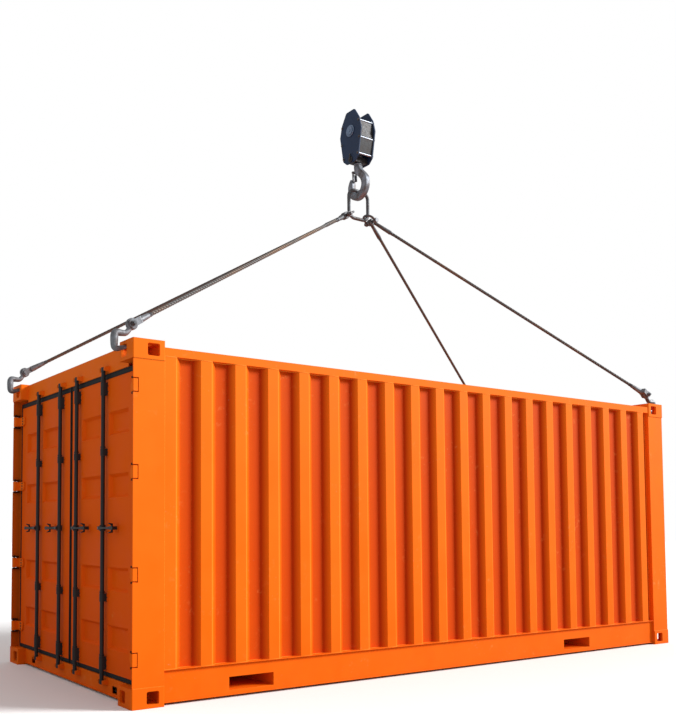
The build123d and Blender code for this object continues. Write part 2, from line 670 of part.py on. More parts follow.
def door_furniture():
    """The guides and catches of the right door."""
    pieces = [rod_guide(place, bottom, height) for place in ROD_PLACES for bottom, height in GUIDE_LEVELS]
    return pieces + [handle_catch(place) for place in ROD_PLACES]


def cam(place, bottom):
    """The hammer head at a rod's end, its horns sloped to pull the door shut."""
    wide, deep = CAM_HALF_WIDTH, CAM_HALF_DEPTH
    narrow, shallow = wide - CAM_SLOPE[0], deep - CAM_SLOPE[1]
    outline = Polyline((-wide, -shallow), (-narrow, -deep), (narrow, -deep), (wide, -shallow),
                       (wide, shallow), (narrow, deep), (-narrow, deep), (-wide, shallow), close=True)
    plane = Plane(origin=(DOOR_END + ROD_AT, RIGHT_SIDE + place, bottom), x_dir=(0, 1, 0), z_dir=(0, 0, 1))
    return extrude(plane * make_face(outline), amount=CAM_HEIGHT)


def lock_rod(place):
    """A round rod the height of the door with a cam at each end and a collar at each guide."""
    rod = upright(ROD_AT, place, (ROD_BOTTOM, ROD_TOP), ROD_RADIUS)
    for bottom in (ROD_BOTTOM, ROD_TOP - CAM_HEIGHT):
        rod += cam(place, bottom)
    for bottom, height in GUIDE_LEVELS:
        start = bottom + height + COLLAR_GAP
        rod += upright(ROD_AT, place, (start, start + COLLAR_HEIGHT), ROD_RADIUS + COLLAR_PROUD)
    return rod


def rod_handle(place):
    """A handle clamped round its rod and folded towards the hinges: a flat bar, narrow in its middle."""
    half = CLAMP_HEIGHT / 2
    wide, waist = HANDLE_HALF_HEIGHT, HANDLE_HALF_HEIGHT - HANDLE_WAIST
    heel, tip = HANDLE_HEEL, -HANDLE_LENGTH
    near, far, nose = -HANDLE_WAIST_SPAN[0], tip + HANDLE_WAIST_SPAN[1], tip + HANDLE_NOSE
    back = HANDLE_FRONT + HANDLE_THICKNESS
    clamp = upright(ROD_AT, place, (HANDLE_LEVEL - half, HANDLE_LEVEL + half), ROD_RADIUS + CLAMP_WALL)
    outline = [
        Spline((heel, wide), (near, waist), (far, waist), (nose, wide), tangents=((-1, 0), (-1, 0))),
        ThreePointArc((nose, wide), (tip, 0), (nose, -wide)),
        Spline((nose, -wide), (far, -waist), (near, -waist), (heel, -wide), tangents=((1, 0), (1, 0))),
        Line((heel, -wide), (heel, wide)),
    ]
    plane = Plane(origin=(DOOR_END + back, RIGHT_SIDE + place, HANDLE_LEVEL), x_dir=(0, 1, 0), z_dir=(1, 0, 0))
    arm = extrude(plane * make_face(Curve() + outline), amount=-HANDLE_THICKNESS)
    neck_half = HANDLE_NECK[0] / 2
    neck_reach = wide - HANDLE_NECK[1]
    neck = block((back - 1, ROD_AT), (place - neck_half, place + neck_half),
                 (HANDLE_LEVEL - neck_reach, HANDLE_LEVEL + neck_reach))
    bore = upright(ROD_AT, place, (HANDLE_LEVEL - half, HANDLE_LEVEL + half), ROD_RADIUS)
    return clamp + arm + neck - bore


def rod_keepers():
    """Two jaws beside each cam, on the header and on the sill, their noses cut back."""
    jaws = []
    inner = CAM_HALF_WIDTH + KEEPER_GAP
    front = DOOR_END + ROD_AT - KEEPER_REACH
    face = DOOR_END + FACE_AT
    for place in ROD_PLACES:
        for centre in (ROD_BOTTOM + CAM_HEIGHT / 2, ROD_TOP - CAM_HEIGHT / 2):
            low, high = centre - KEEPER_HEIGHT / 2, centre + KEEPER_HEIGHT / 2
            nose = (low + KEEPER_CUT, high - KEEPER_CUT)
            side_view = Polyline((face, low), (front, nose[0]), (front, nose[1]), (face, high), close=True)
            for start in (place - inner - KEEPER_THICKNESS, place + inner):
                plane = Plane(origin=(0, RIGHT_SIDE + start, 0), x_dir=(1, 0, 0), z_dir=(0, -1, 0))
                jaw = extrude(plane * make_face(side_view), amount=-KEEPER_THICKNESS)
                jaws += [jaw, other_side(jaw)]
    return jaws


def end_hook():
    """Hook of the door end's right corner, forged round: its nose bears on the upper edge of the casting's
    end opening, its back goes round the casting's corner, and its eye stands over the casting."""
    y = RIGHT_SIDE + END_APERTURE_AT
    lip = HEIGHT - CASTING_HEIGHT / 2 + END_APERTURE[1] / 2
    seat = lip - HOOK_SEAT_GAP - HOOK_NOSE_RADIUS
    neck, eye = (HOOK_NECK[0], HEIGHT + HOOK_NECK[1]), (HOOK_EYE[0], HEIGHT + HOOK_EYE[1])
    points = [(HOOK_NOSE_IN, seat), (-HOOK_OUT, seat - HOOK_SAG), (-HOOK_OUT, neck[1]), neck, eye]
    line = FilletPolyline(*[(DOOR_END + a, y, b) for a, b in points],
                          radius=[HOOK_BEND_RADIUS, HOOK_BEND_RADIUS, HOOK_NECK_RADIUS])
    sections = [Plane(origin=line @ share, z_dir=line % share) * Circle(radius)
                for share, radius in HOOK_SECTIONS]
    body = sweep(sections, path=line, multisection=True)
    nose = Pos(*(line @ 0)) * Sphere(HOOK_NOSE_RADIUS)
    at = Pos(DOOR_END + eye[0], y, eye[1]) * Rot(90, 0, 0)
    disc = Cylinder(HOOK_EYE_RADIUS, HOOK_THICKNESS)
    boss = at * chamfer(disc.edges().filter_by(GeomType.CIRCLE), HOOK_CHAMFER)
    return body + nose + boss - at * Cylinder(CLEVIS_PIN_RADIUS + CLEVIS_CLEARANCE, 2 * HOOK_THICKNESS)


def pull():
    """Unit direction, in the length plane, in which a pair of legs pulls the master link's corner."""
    angle = math.radians(PULL_ANGLE)
    return Vector(-math.cos(angle), 0, -math.sin(angle))


def link_corner():
    """Where the pull line of the door end's legs crosses the master link's bar."""
    centre = Vector(-LINK_HALF_WIDTH + LINK_CORNER, 0, LINK_BOTTOM + LINK_CORNER)
    return centre + pull() * LINK_CORNER


def shackle_pin_centre():
    inside = SHACKLE_STRAIGHT + SHACKLE_BOW_RADIUS - SHACKLE_BAR_RADIUS
    return link_corner() + pull() * (inside - LINK_BAR_RADIUS - HOOK_SEAT_GAP)


def master_link():
    plane = Plane(origin=(0, 0, LINK_BOTTOM + LINK_HEIGHT / 2), x_dir=(1, 0, 0), z_dir=(0, -1, 0))
    outline = (plane * RectangleRounded(2 * LINK_HALF_WIDTH, LINK_HEIGHT, LINK_CORNER)).face().outer_wire()
    return sweep(Plane(origin=outline @ 0, z_dir=outline % 0) * Circle(LINK_BAR_RADIUS), path=outline)


def shackle():
    """Bow over the master link's corner and a pin through the eyes of two legs."""
    back = pull() * -1
    frame = Plane(origin=shackle_pin_centre(), x_dir=(0, 1, 0), z_dir=pull().cross(Vector(0, 1, 0)))
    sign = 1 if (frame.y_dir.dot(back)) > 0 else -1
    reach = sign * SHACKLE_STRAIGHT
    start, turn = (-SHACKLE_BOW_RADIUS, 0), (-SHACKLE_BOW_RADIUS, reach)
    finish, other = (SHACKLE_BOW_RADIUS, 0), (SHACKLE_BOW_RADIUS, reach)
    crown = (0, reach + sign * SHACKLE_BOW_RADIUS)
    path = frame * (Line(start, turn) + ThreePointArc(turn, crown, other) + Line(other, finish))
    wire = Wire(path.edges())
    bow = sweep(Plane(origin=wire @ 0, z_dir=wire % 0) * Circle(SHACKLE_BAR_RADIUS), path=wire)
    centre = shackle_pin_centre()
    at = Pos(centre.X, centre.Y, centre.Z) * Rot(90, 0, 0)
    pin = at * Cylinder(SHACKLE_PIN_RADIUS, 2 * SHACKLE_BOW_RADIUS)
    for side in (-1, 1):
        boss = Pos(centre.X, side * SHACKLE_BOW_RADIUS, centre.Z) * Rot(90, 0, 0)
        pin += boss * Cylinder(SHACKLE_BOSS_RADIUS, SHACKLE_BOSS_THICKNESS)
    return bow + pin


def tapered(start, finish, low, high):
    """A round piece from one point to another that tapers from one radius to another."""
    way = finish - start
    plane = Plane(origin=start, z_dir=way)
    if low == high:
        return extrude(plane * Circle(low), amount=way.length)
    return loft([plane * Circle(low), plane.offset(way.length) * Circle(high)])


def leg_ends():
    """Places of a leg's lower and upper pins, and the way from one to the other."""
    foot = Vector(DOOR_END + HOOK_EYE[0], RIGHT_SIDE + END_APERTURE_AT, HEIGHT + HOOK_EYE[1])
    pin = shackle_pin_centre()
    head = Vector(pin.X, -(EYE_OFFSET + EYE_SIDE_CLEARANCE), pin.Z)
    return foot, head, (head - foot).normalized()


def leg_rope():
    """Rope of the door end's right corner, from socket to socket."""
    foot, head, way = leg_ends()
    return tapered(foot + way * SOCKET_LENGTH, head - way * SPLICE_LENGTH, ROPE_RADIUS, ROPE_RADIUS)


def leg_fork():
    """Lower end of a leg: a fork with a pin through the end hook's eye, and the socket that holds the rope."""
    foot, head, way = leg_ends()
    half = HOOK_THICKNESS / 2 + CLEVIS_SIDE_GAP
    slope = math.degrees(math.atan2(way.Z, way.X))
    at = Pos(foot.X, foot.Y, foot.Z) * Rot(0, -slope, 0)
    arm = 2 * (FORK_RADIUS - FORK_ARM_MARGIN)
    bridge = HOOK_EYE_RADIUS + FORK_ARM_MARGIN
    arm_length = bridge + YOKE[0] / 2
    fork = at * Rot(90, 0, 0) * Cylinder(CLEVIS_PIN_RADIUS, 2 * (half + CLEVIS_EAR + CLEVIS_PIN_PROUD))
    for side in (-1, 1):
        ear = Pos(0, side * (half + CLEVIS_EAR / 2), 0)
        fork += at * ear * Rot(90, 0, 0) * Cylinder(FORK_RADIUS, CLEVIS_EAR)
        fork += at * ear * Pos(arm_length / 2, 0, 0) * Box(arm_length, CLEVIS_EAR, arm)
        pin_end = Pos(0, side * (half + CLEVIS_EAR + CLEVIS_HEAD[1] / 2), 0)
        fork += at * pin_end * Rot(90, 0, 0) * Cylinder(*CLEVIS_HEAD)
    yoke = Box(YOKE[0], 2 * (half + CLEVIS_EAR), arm)
    yoke = fillet(yoke.edges().filter_by(Axis.Z).sort_by(Axis.X)[-2:], YOKE[1])
    fork += at * Pos(arm_length, 0, 0) * yoke
    return fork + tapered(foot + way * (arm_length + SOCKET_FOOT_PROUD), foot + way * SOCKET_LENGTH,
                          SOCKET_RADIUS, ROPE_RADIUS + SOCKET_FOOT_PROUD)


def leg_eye():
    """Upper end of a leg: a thimble on the shackle's pin and the pressed ferrule behind it, on its own side."""
    foot, head, way = leg_ends()
    at = Pos(head.X, head.Y, head.Z) * Rot(90, 0, 0)
    eye = at * Cylinder(EYE_RADIUS, EYE_THICKNESS)
    eye += tapered(head - way * SPLICE_LENGTH, head - way * (EYE_RADIUS - FERRULE_LAP),
                   ROPE_RADIUS + FERRULE_PROUD[0], ROPE_RADIUS + FERRULE_PROUD[1])
    eye -= Pos(0, (WIDTH - EYE_SIDE_CLEARANCE) / 2, head.Z) * Box(LENGTH, WIDTH, HEIGHT)
    return eye - at * Cylinder(SHACKLE_PIN_RADIUS + CLEVIS_CLEARANCE, 4 * EYE_THICKNESS)


def bowl_centre():
    """Height of the middle of the crane hook's bowl, whose lowest point carries the master link."""
    return LINK_TOP - LINK_BAR_RADIUS - HOOK_SEAT_GAP + BOWL_RADIUS


def crosshead_span():
    bottom = BLOCK_BOTTOM + CROSSHEAD_LIFT
    return (bottom, bottom + CROSSHEAD_HEIGHT)


def hook_outline():
    """Face of the crane hook in the plane across the container: neck, back, bowl and tip."""
    centre = bowl_centre()
    back, tip = -BOWL_RADIUS - BOWL_SHIFT, BOWL_RADIUS - BOWL_SHIFT
    outer_back, outer_tip = back - HOOK_BACK_WIDTH, tip + HOOK_TIP_WIDTH
    lowest = centre - BOWL_RADIUS - BOWL_THICKNESS
    neck, top = NECK_HALF_WIDTH, BLOCK_BOTTOM - HOOK_DROP
    (shoulder, shoulder_rise), (flank, flank_rise) = HOOK_BACK_OUTSIDE
    (hollow, hollow_rise), (throat, throat_rise) = HOOK_BACK_INSIDE
    swell, crown, beak, lip = [(outer_tip + a, centre + b) for a, b in HOOK_TIP_CURVE[:3]] + [
        (tip + HOOK_TIP_CURVE[3][0], centre + HOOK_TIP_CURVE[3][1])]
    outline = [
        Line((neck, top), (-neck, top)),
        Spline((-neck, top), (shoulder, centre + shoulder_rise), (outer_back + flank, centre + flank_rise),
               (outer_back, centre), tangents=((0, -1), (0, -1))),
        ThreePointArc((outer_back, centre), ((outer_back + outer_tip) / 2, lowest), (outer_tip, centre)),
        Spline((outer_tip, centre), swell, crown, tangents=((0, 1), (-0.8, 0.6))),
        Line(crown, beak),
        Spline(beak, lip, (tip, centre), tangents=((-0.2, -1), (0, -1))),
        ThreePointArc((tip, centre), (tip - BOWL_RADIUS, centre - BOWL_RADIUS), (back, centre)),
        Spline((back, centre), (back + hollow, centre + hollow_rise), (throat, centre + throat_rise),
               (neck, top), tangents=((0, 1), (0, 1))),
    ]
    return make_face(Curve() + outline)


def latch_frame():
    """Plane at the latch's pin whose x direction runs down the latch to the hook's tip."""
    way = (0, LATCH_TIP_AT[0] - LATCH_PIN_AT[0], LATCH_TIP_AT[1] - LATCH_PIN_AT[1])
    return Plane(origin=(0, *LATCH_PIN_AT), x_dir=way, z_dir=(1, 0, 0))


def crane_hook():
    """Forged hook, its shank up through the crosshead to a nut, with a lug and a pin for the latch."""
    half = CRANE_HOOK_THICKNESS / 2
    plane = Plane(origin=(-half, 0, 0), x_dir=(0, 1, 0), z_dir=(1, 0, 0))
    hook = extrude(plane * hook_outline(), amount=CRANE_HOOK_THICKNESS)
    hook = fillet(hook.faces().filter_by(Axis.X).edges(), CRANE_HOOK_ROUND)
    standing = (Align.CENTER, Align.CENTER, Align.MIN)
    top = crosshead_span()[1]
    start = BLOCK_BOTTOM - HOOK_DROP - SHANK_LAP
    shank = Pos(0, 0, start) * Cylinder(SHANK_RADIUS, top + NUT_HEIGHT - start, align=standing)
    nut = Pos(0, 0, top + HOOK_SEAT_GAP) * Cylinder(NUT_RADIUS, NUT_HEIGHT, align=standing)
    inside = LATCH_WIDTH / 2 - LATCH_THICKNESS - LATCH_SIDE_GAP
    frame = latch_frame()
    lug_radius = LATCH_EAR_RADIUS - LATCH_LUG_INSET
    lug = extrude(frame.offset(-inside) * Circle(lug_radius), amount=2 * inside)
    reach = LATCH_PIN_AT[0]
    arm = Pos(0, reach / 2, LATCH_PIN_AT[1]) * Box(2 * inside, reach, 2 * lug_radius)
    pin_half = LATCH_WIDTH / 2 + LATCH_PIN_PROUD
    pin = extrude(frame.offset(-pin_half) * Circle(LATCH_PIN_RADIUS), amount=2 * pin_half)
    return hook + shank + nut + lug + arm + pin


def hook_latch():
    """Latch on the hook's pin: two ears and a plate down to the tip."""
    frame = latch_frame()
    length = math.dist(LATCH_PIN_AT, LATCH_TIP_AT)
    half, thick = LATCH_WIDTH / 2, LATCH_THICKNESS
    deep = 2 * (LATCH_EAR_RADIUS - LATCH_PLATE_INSET)
    latch = extrude(frame.offset(-half) * Circle(LATCH_EAR_RADIUS), amount=LATCH_WIDTH)
    latch += extrude(frame.offset(-half) * Pos(length / 2, 0) * Rectangle(length, deep), amount=LATCH_WIDTH)
    inside = frame.offset(thick - half)
    latch -= extrude(inside * Rectangle(*LATCH_ROOM), amount=LATCH_WIDTH - 2 * thick)
    latch -= extrude(inside * Pos(length / 2, -thick) * Rectangle(length, deep), amount=LATCH_WIDTH - 2 * thick)
    bore = frame.offset(-half) * Circle(LATCH_PIN_RADIUS + PIN_CLEARANCE)
    return latch - extrude(bore, amount=LATCH_WIDTH)


def block_cheek():
    """Side plate of the block, in the plane across the container."""
    right = [(a, BLOCK_BOTTOM + b) for a, b in BLOCK_OUTLINE]
    left = [(-a, b) for a, b in reversed(right)]
    plane = Plane(origin=(CHEEK_INNER, 0, 0), x_dir=(0, 1, 0), z_dir=(1, 0, 0))
    outline = make_face(Polyline(*right, *left, close=True))
    plate = extrude(plane * outline, amount=CHEEK_THICKNESS)
    plate = fillet(plate.edges().filter_by(Axis.X), CHEEK_ROUND)
    at = Pos(0, 0, SHEAVE_CENTRE) * Rot(0, 90, 0)
    return plate - at * Cylinder(AXLE_RADIUS + AXLE_CLEARANCE, 4 * CHEEK_INNER)


def crosshead():
    z = crosshead_span()
    body = Pos(0, 0, (z[0] + z[1]) / 2) * Box(2 * CHEEK_INNER, 2 * CROSSHEAD_HALF_DEPTH, z[1] - z[0])
    return body - Pos(0, 0, z[0]) * Cylinder(SHANK_RADIUS + SHANK_CLEARANCE, 4 * CROSSHEAD_HEIGHT)


def sheave(place):
    """Grooved wheel that the crane's falls run over."""
    bore, half, web = AXLE_RADIUS + AXLE_CLEARANCE, SHEAVE_THICKNESS / 2, SHEAVE_WEB / 2
    inner_rim, rim = SHEAVE_RADIUS - SHEAVE_RIM[0], half - SHEAVE_RIM[1]
    hub, flare = SHEAVE_HUB, SHEAVE_FLARE
    upper = [(SHEAVE_RADIUS, rim), (inner_rim, rim), (inner_rim - flare, web), (hub + flare, web), (hub, half),
             (bore, half)]
    lower = [(a, -b) for a, b in reversed(upper)]
    groove = Pos(SHEAVE_RADIUS + 1, 0) * Circle(GROOVE_RADIUS)
    profile = make_face(Polyline(*lower, *upper, close=True)) - groove
    return Pos(place, 0, SHEAVE_CENTRE) * Rot(0, 90, 0) * revolve(Plane.XZ * profile, Axis.Z)


def sheave_axle():
    outer = CHEEK_INNER + CHEEK_THICKNESS
    at = Pos(0, 0, SHEAVE_CENTRE) * Rot(0, 90, 0)
    axle = at * Cylinder(AXLE_RADIUS, 2 * (outer + AXLE_BOSS_THICKNESS))
    for side in (-1, 1):
        boss = Pos(side * (outer + AXLE_BOSS_THICKNESS / 2 + BOSS_SEAT_GAP), 0, SHEAVE_CENTRE) * Rot(0, 90, 0)
        axle += boss * Cylinder(AXLE_BOSS_RADIUS, AXLE_BOSS_THICKNESS)
    return axle


def outline_at(level):
    """Half width of the block's outline at a height."""
    points = BLOCK_OUTLINE
    for (a, low), (b, high) in zip(points, points[1:]):
        if low <= level - BLOCK_BOTTOM <= high:
            share = (level - BLOCK_BOTTOM - low) / (high - low)
            return a + share * (b - a)
    return points[-1][0]


def tie_bars():
    """Round spacers between the cheeks, three along each edge."""
    bars = []
    for level in TIE_LEVELS:
        at = Pos(0, TIE_INSET - outline_at(level), level) * Rot(0, 90, 0)
        bar = at * Cylinder(TIE_RADIUS, 2 * CHEEK_INNER)
        bars += [bar, other_side(bar)]
    return bars


def rope_guard(levels):
    """A plate between the cheeks, from one spacer to the next."""
    reach, thick = TIE_RADIUS + GUARD_GAP, GUARD_THICKNESS
    low, high = levels[0] + reach, levels[1] - reach
    near_low, near_high = [TIE_INSET - outline_at(level) for level in levels]
    points = [(near_low, low), (near_high, high), (near_high - thick, high), (near_low - thick, low)]
    plane = Plane(origin=(-CHEEK_INNER, 0, 0), x_dir=(0, 1, 0), z_dir=(1, 0, 0))
    return extrude(plane * make_face(Polyline(*points, close=True)), amount=2 * CHEEK_INNER)


def all_nodes():
    castings = {
        "top_castings": group(four_corners(top_casting())),
        "bottom_castings": group(four_corners(bottom_casting())),
    }
    rear, front = rear_post(), front_post()
    pins = [hinge_pin(level) for level in HINGE_LEVELS]
    frame = {
        "rear_post_right": rear,
        "rear_post_left": other_side(rear),
        "front_post_right": front,
        "front_post_left": other_side(front),
        "hinge_pins": group(pins + [other_side(pin) for pin in pins]),
        "door_header": door_header(),
        "door_sill": door_sill(),
        "rod_keepers": group(rod_keepers()),
        "front_top_rail": front_top_rail(),
        "front_base_rail": front_base_rail(),
        "top_rail_right": top_rail(),
        "top_rail_left": other_side(top_rail()),
        "base_rail_right": base_rail(),
        "base_rail_left": other_side(base_rail()),
    }
    wall = side_wall()
    skins = {
        "side_wall_right": wall,
        "side_wall_left": other_side(wall),
        "front_wall": front_wall(),
        "roof_panel": roof_panel(),
        "floor_deck": floor_deck(),
        "cross_members": group([cross_member(place) for place in member_places()]),
        "fork_pockets": group([fork_pocket(centre) for centre in POCKET_CENTRES]),
    }
    leaf, gasket = door_leaf(), door_gasket()
    straps, furniture = [hinge_strap(level) for level in HINGE_LEVELS], door_furniture()
    doors = {
        "door_right": leaf,
        "door_left": other_side(leaf),
        "door_gasket_right": gasket,
        "door_gasket_left": other_side(gasket),
        "hinge_straps_right": group(straps),
        "hinge_straps_left": group([other_side(strap) for strap in straps]),
        "door_furniture_right": group(furniture),
        "door_furniture_left": group([other_side(piece) for piece in furniture]),
    }
    for place, word in zip(ROD_PLACES, ("outer", "inner")):
        rod, handle = lock_rod(place), rod_handle(place)
        doors["lock_rod_right_" + word] = rod
        doors["lock_rod_left_" + word] = other_side(rod)
        doors["rod_handle_right_" + word] = handle
        doors["rod_handle_left_" + word] = other_side(handle)
    bow = shackle()
    sling = {
        "end_hooks": group(four_corners(end_hook())),
        "sling_legs": group(four_corners(leg_rope())),
        "leg_forks": group(four_corners(leg_fork())),
        "leg_eyes": group(four_corners(leg_eye())),
        "sling_shackles": group([bow, other_end(bow)]),
        "master_link": master_link(),
    }
    cheek = block_cheek()
    guards = [rope_guard(levels) for levels in zip(TIE_LEVELS, TIE_LEVELS[1:])]
    lifting = {
        "crane_hook": crane_hook(),
        "hook_latch": hook_latch(),
        "block_cheeks": group([cheek, other_end(cheek)]),
        "block_crosshead": crosshead(),
        "rope_guards": group(guards + [other_side(guard) for guard in guards]),
        "tie_bars": group(tie_bars()),
        "sheave_axle": sheave_axle(),
        "sheaves": group([sheave(place) for place in SHEAVE_PLACES]),
    }
    return {**castings, **frame, **skins, **doors, **sling, **lifting}


os.makedirs("parts", exist_ok=True)
for name, shape in all_nodes().items():
    export_step(shape, os.path.join("parts", name + ".step"))
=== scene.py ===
import math

import bmesh
import bpy
from mathutils import Matrix, Vector


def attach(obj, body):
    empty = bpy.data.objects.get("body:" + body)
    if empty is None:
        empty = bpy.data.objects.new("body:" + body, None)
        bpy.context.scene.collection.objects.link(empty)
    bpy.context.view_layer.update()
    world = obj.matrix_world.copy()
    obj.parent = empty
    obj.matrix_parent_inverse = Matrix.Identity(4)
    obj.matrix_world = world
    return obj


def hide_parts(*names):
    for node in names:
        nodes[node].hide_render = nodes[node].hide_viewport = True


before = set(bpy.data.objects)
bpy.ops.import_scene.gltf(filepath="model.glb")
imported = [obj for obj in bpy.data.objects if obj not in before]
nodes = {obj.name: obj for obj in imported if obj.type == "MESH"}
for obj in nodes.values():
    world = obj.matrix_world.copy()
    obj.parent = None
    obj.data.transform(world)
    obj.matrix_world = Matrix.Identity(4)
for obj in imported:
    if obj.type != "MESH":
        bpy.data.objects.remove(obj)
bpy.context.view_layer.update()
print("frame loaded:", len(nodes), "nodes")

# the container's own corners and levels in metres, as the frame has them
container = {
    "door": -3.029, "closed": 3.029, "side": 1.219,
    "casting": (0.242, 0.212, 0.134), "topCasting": 2.304, "postFace": 0.006,
    "face": 0.070, "railTop": 0.238, "wallTop": 2.338, "deck": 0.176,
}


# shared shader pieces

def newTree(name, outputs, inputs):
    tree = bpy.data.node_groups.new(name, "ShaderNodeTree")
    for socketName, kind, value in inputs:
        socket = tree.interface.new_socket(name=socketName, in_out="INPUT", socket_type=kind)
        socket.default_value = value
    for socketName, kind in outputs:
        tree.interface.new_socket(name=socketName, in_out="OUTPUT", socket_type=kind)
    groupIn = tree.nodes.new("NodeGroupInput")
    groupOut = tree.nodes.new("NodeGroupOutput")
    return tree, groupIn, groupOut


def noiseNode(tree, vector, scale, detail=4.0, roughness=0.55):
    node = tree.nodes.new("ShaderNodeTexNoise")
    node.inputs["Scale"].default_value = scale
    node.inputs["Detail"].default_value = detail
    node.inputs["Roughness"].default_value = roughness
    tree.links.new(vector, node.inputs["Vector"])
    return node


def mapRange(tree, value, low, high, toLow=0.0, toHigh=1.0):
    node = tree.nodes.new("ShaderNodeMapRange")
    node.inputs["From Min"].default_value = low
    node.inputs["From Max"].default_value = high
    node.inputs["To Min"].default_value = toLow
    node.inputs["To Max"].default_value = toHigh
    tree.links.new(value, node.inputs["Value"])
    return node.outputs["Result"]


def mathNode(tree, operation, first, second=0.0):
    node = tree.nodes.new("ShaderNodeMath")
    node.operation = operation
    for socket, value in zip(node.inputs, (first, second)):
        if isinstance(value, (int, float)):
            socket.default_value = value
        else:
            tree.links.new(value, socket)
    return node.outputs[0]


def mixColor(tree, factor, first, second):
    node = tree.nodes.new("ShaderNodeMix")
    node.data_type = "RGBA"
    for socket, value in ((node.inputs[0], factor), (node.inputs[6], first), (node.inputs[7], second)):
        if isinstance(value, (int, float, tuple)):
            socket.default_value = value
        else:
            tree.links.new(value, socket)
    return node.outputs[2]


def splitAxes(tree, vector):
    axes = tree.nodes.new("ShaderNodeSeparateXYZ")
    tree.links.new(vector, axes.inputs[0])
    return axes.outputs


# chips and scuffs: small pale flecks, seen mostly where two soft noises agree
def buildFleckGroup():
    tree, groupIn, groupOut = newTree(
        "paintFlecks",
        [("Mask", "NodeSocketFloat"), ("Scuff", "NodeSocketFloat")],
        [("Vector", "NodeSocketVector", (0, 0, 0)), ("Amount", "NodeSocketFloat", 0.5)])
    vector = groupIn.outputs["Vector"]
    patches = noiseNode(tree, vector, 2.3, 3.0)
    specks = noiseNode(tree, vector, 60.0, 4.0, 0.7)
    streaks = noiseNode(tree, vector, 16.0, 5.0, 0.62)
    zone = mapRange(tree, patches.outputs[0], 0.5, 0.68)
    dots = mapRange(tree, specks.outputs[0], 0.66, 0.71)
    scuff = mapRange(tree, streaks.outputs[0], 0.6, 0.74)
    masked = mathNode(tree, "MULTIPLY", dots, zone)
    tree.links.new(mathNode(tree, "MULTIPLY", masked, groupIn.outputs["Amount"]), groupOut.inputs["Mask"])
    rubbed = mathNode(tree, "MULTIPLY", scuff, zone)
    tree.links.new(mathNode(tree, "MULTIPLY", rubbed, groupIn.outputs["Amount"]), groupOut.inputs["Scuff"])
    return tree


# worn edges: the bevel normal leaves the true one only near an edge
def buildEdgeGroup():
    tree, groupIn, groupOut = newTree(
        "edgeWear", [("Mask", "NodeSocketFloat"), ("Line", "NodeSocketFloat")],
        [("Vector", "NodeSocketVector", (0, 0, 0)), ("Width", "NodeSocketFloat", 0.004),
         ("Amount", "NodeSocketFloat", 0.5)])
    bevel = tree.nodes.new("ShaderNodeBevel")
    bevel.samples = 4
    tree.links.new(groupIn.outputs["Width"], bevel.inputs["Radius"])
    geometry = tree.nodes.new("ShaderNodeNewGeometry")
    dot = tree.nodes.new("ShaderNodeVectorMath")
    dot.operation = "DOT_PRODUCT"
    tree.links.new(bevel.outputs[0], dot.inputs[0])
    tree.links.new(geometry.outputs["Normal"], dot.inputs[1])
    edge = mapRange(tree, dot.outputs["Value"], 0.99, 0.86)
    broken = noiseNode(tree, groupIn.outputs["Vector"], 45.0, 5.0, 0.65)
    gate = mapRange(tree, broken.outputs[0], 0.5, 0.64)
    worn = mathNode(tree, "MULTIPLY", mathNode(tree, "MULTIPLY", edge, gate), groupIn.outputs["Amount"])
    tree.links.new(worn, groupOut.inputs["Mask"])
    tree.links.new(mathNode(tree, "MULTIPLY", edge, groupIn.outputs["Amount"]), groupOut.inputs["Line"])
    return tree


# rolled or sprayed surface: a fine ripple as height
def buildRippleGroup():
    tree, groupIn, groupOut = newTree(
        "paintRipple", [("Height", "NodeSocketFloat"), ("Rough", "NodeSocketFloat")],
        [("Vector", "NodeSocketVector", (0, 0, 0)), ("Scale", "NodeSocketFloat", 80.0)])
    fine = noiseNode(tree, groupIn.outputs["Vector"], 80.0, 3.0)
    tree.links.new(groupIn.outputs["Scale"], fine.inputs["Scale"])
    broad = noiseNode(tree, groupIn.outputs["Vector"], 3.4, 2.0)
    height = mathNode(tree, "ADD", mathNode(tree, "MULTIPLY", fine.outputs[0], 0.12), broad.outputs[0])
    tree.links.new(height, groupOut.inputs["Height"])
    tree.links.new(mapRange(tree, broad.outputs[0], 0.3, 0.7), groupOut.inputs["Rough"])
    return tree


fleckGroup = buildFleckGroup()
edgeGroup = buildEdgeGroup()
rippleGroup = buildRippleGroup()


def useGroup(tree, group, vector, **values):
    node = tree.nodes.new("ShaderNodeGroup")
    node.node_tree = group
    tree.links.new(vector, node.inputs["Vector"])
    for key, value in values.items():
        node.inputs[key].default_value = value
    return node


def newMaterial(name):
    material = bpy.data.materials.new(name)
    material.use_nodes = True
    tree = material.node_tree
    shader = tree.nodes["Principled BSDF"]
    coordinates = tree.nodes.new("ShaderNodeTexCoord").outputs["Object"]
    return material, tree, shader, coordinates


def addBump(tree, shader, height, strength, distance, edgeRound=0.0):
    bump = tree.nodes.new("ShaderNodeBump")
    bump.inputs["Strength"].default_value = strength
    bump.inputs["Distance"].default_value = distance
    if edgeRound:
        bevel = tree.nodes.new("ShaderNodeBevel")
        bevel.samples = 4
        bevel.inputs["Radius"].default_value = edgeRound
        tree.links.new(bevel.outputs[0], bump.inputs["Normal"])
    tree.links.new(height, bump.inputs["Height"])
    tree.links.new(bump.outputs[0], shader.inputs["Normal"])


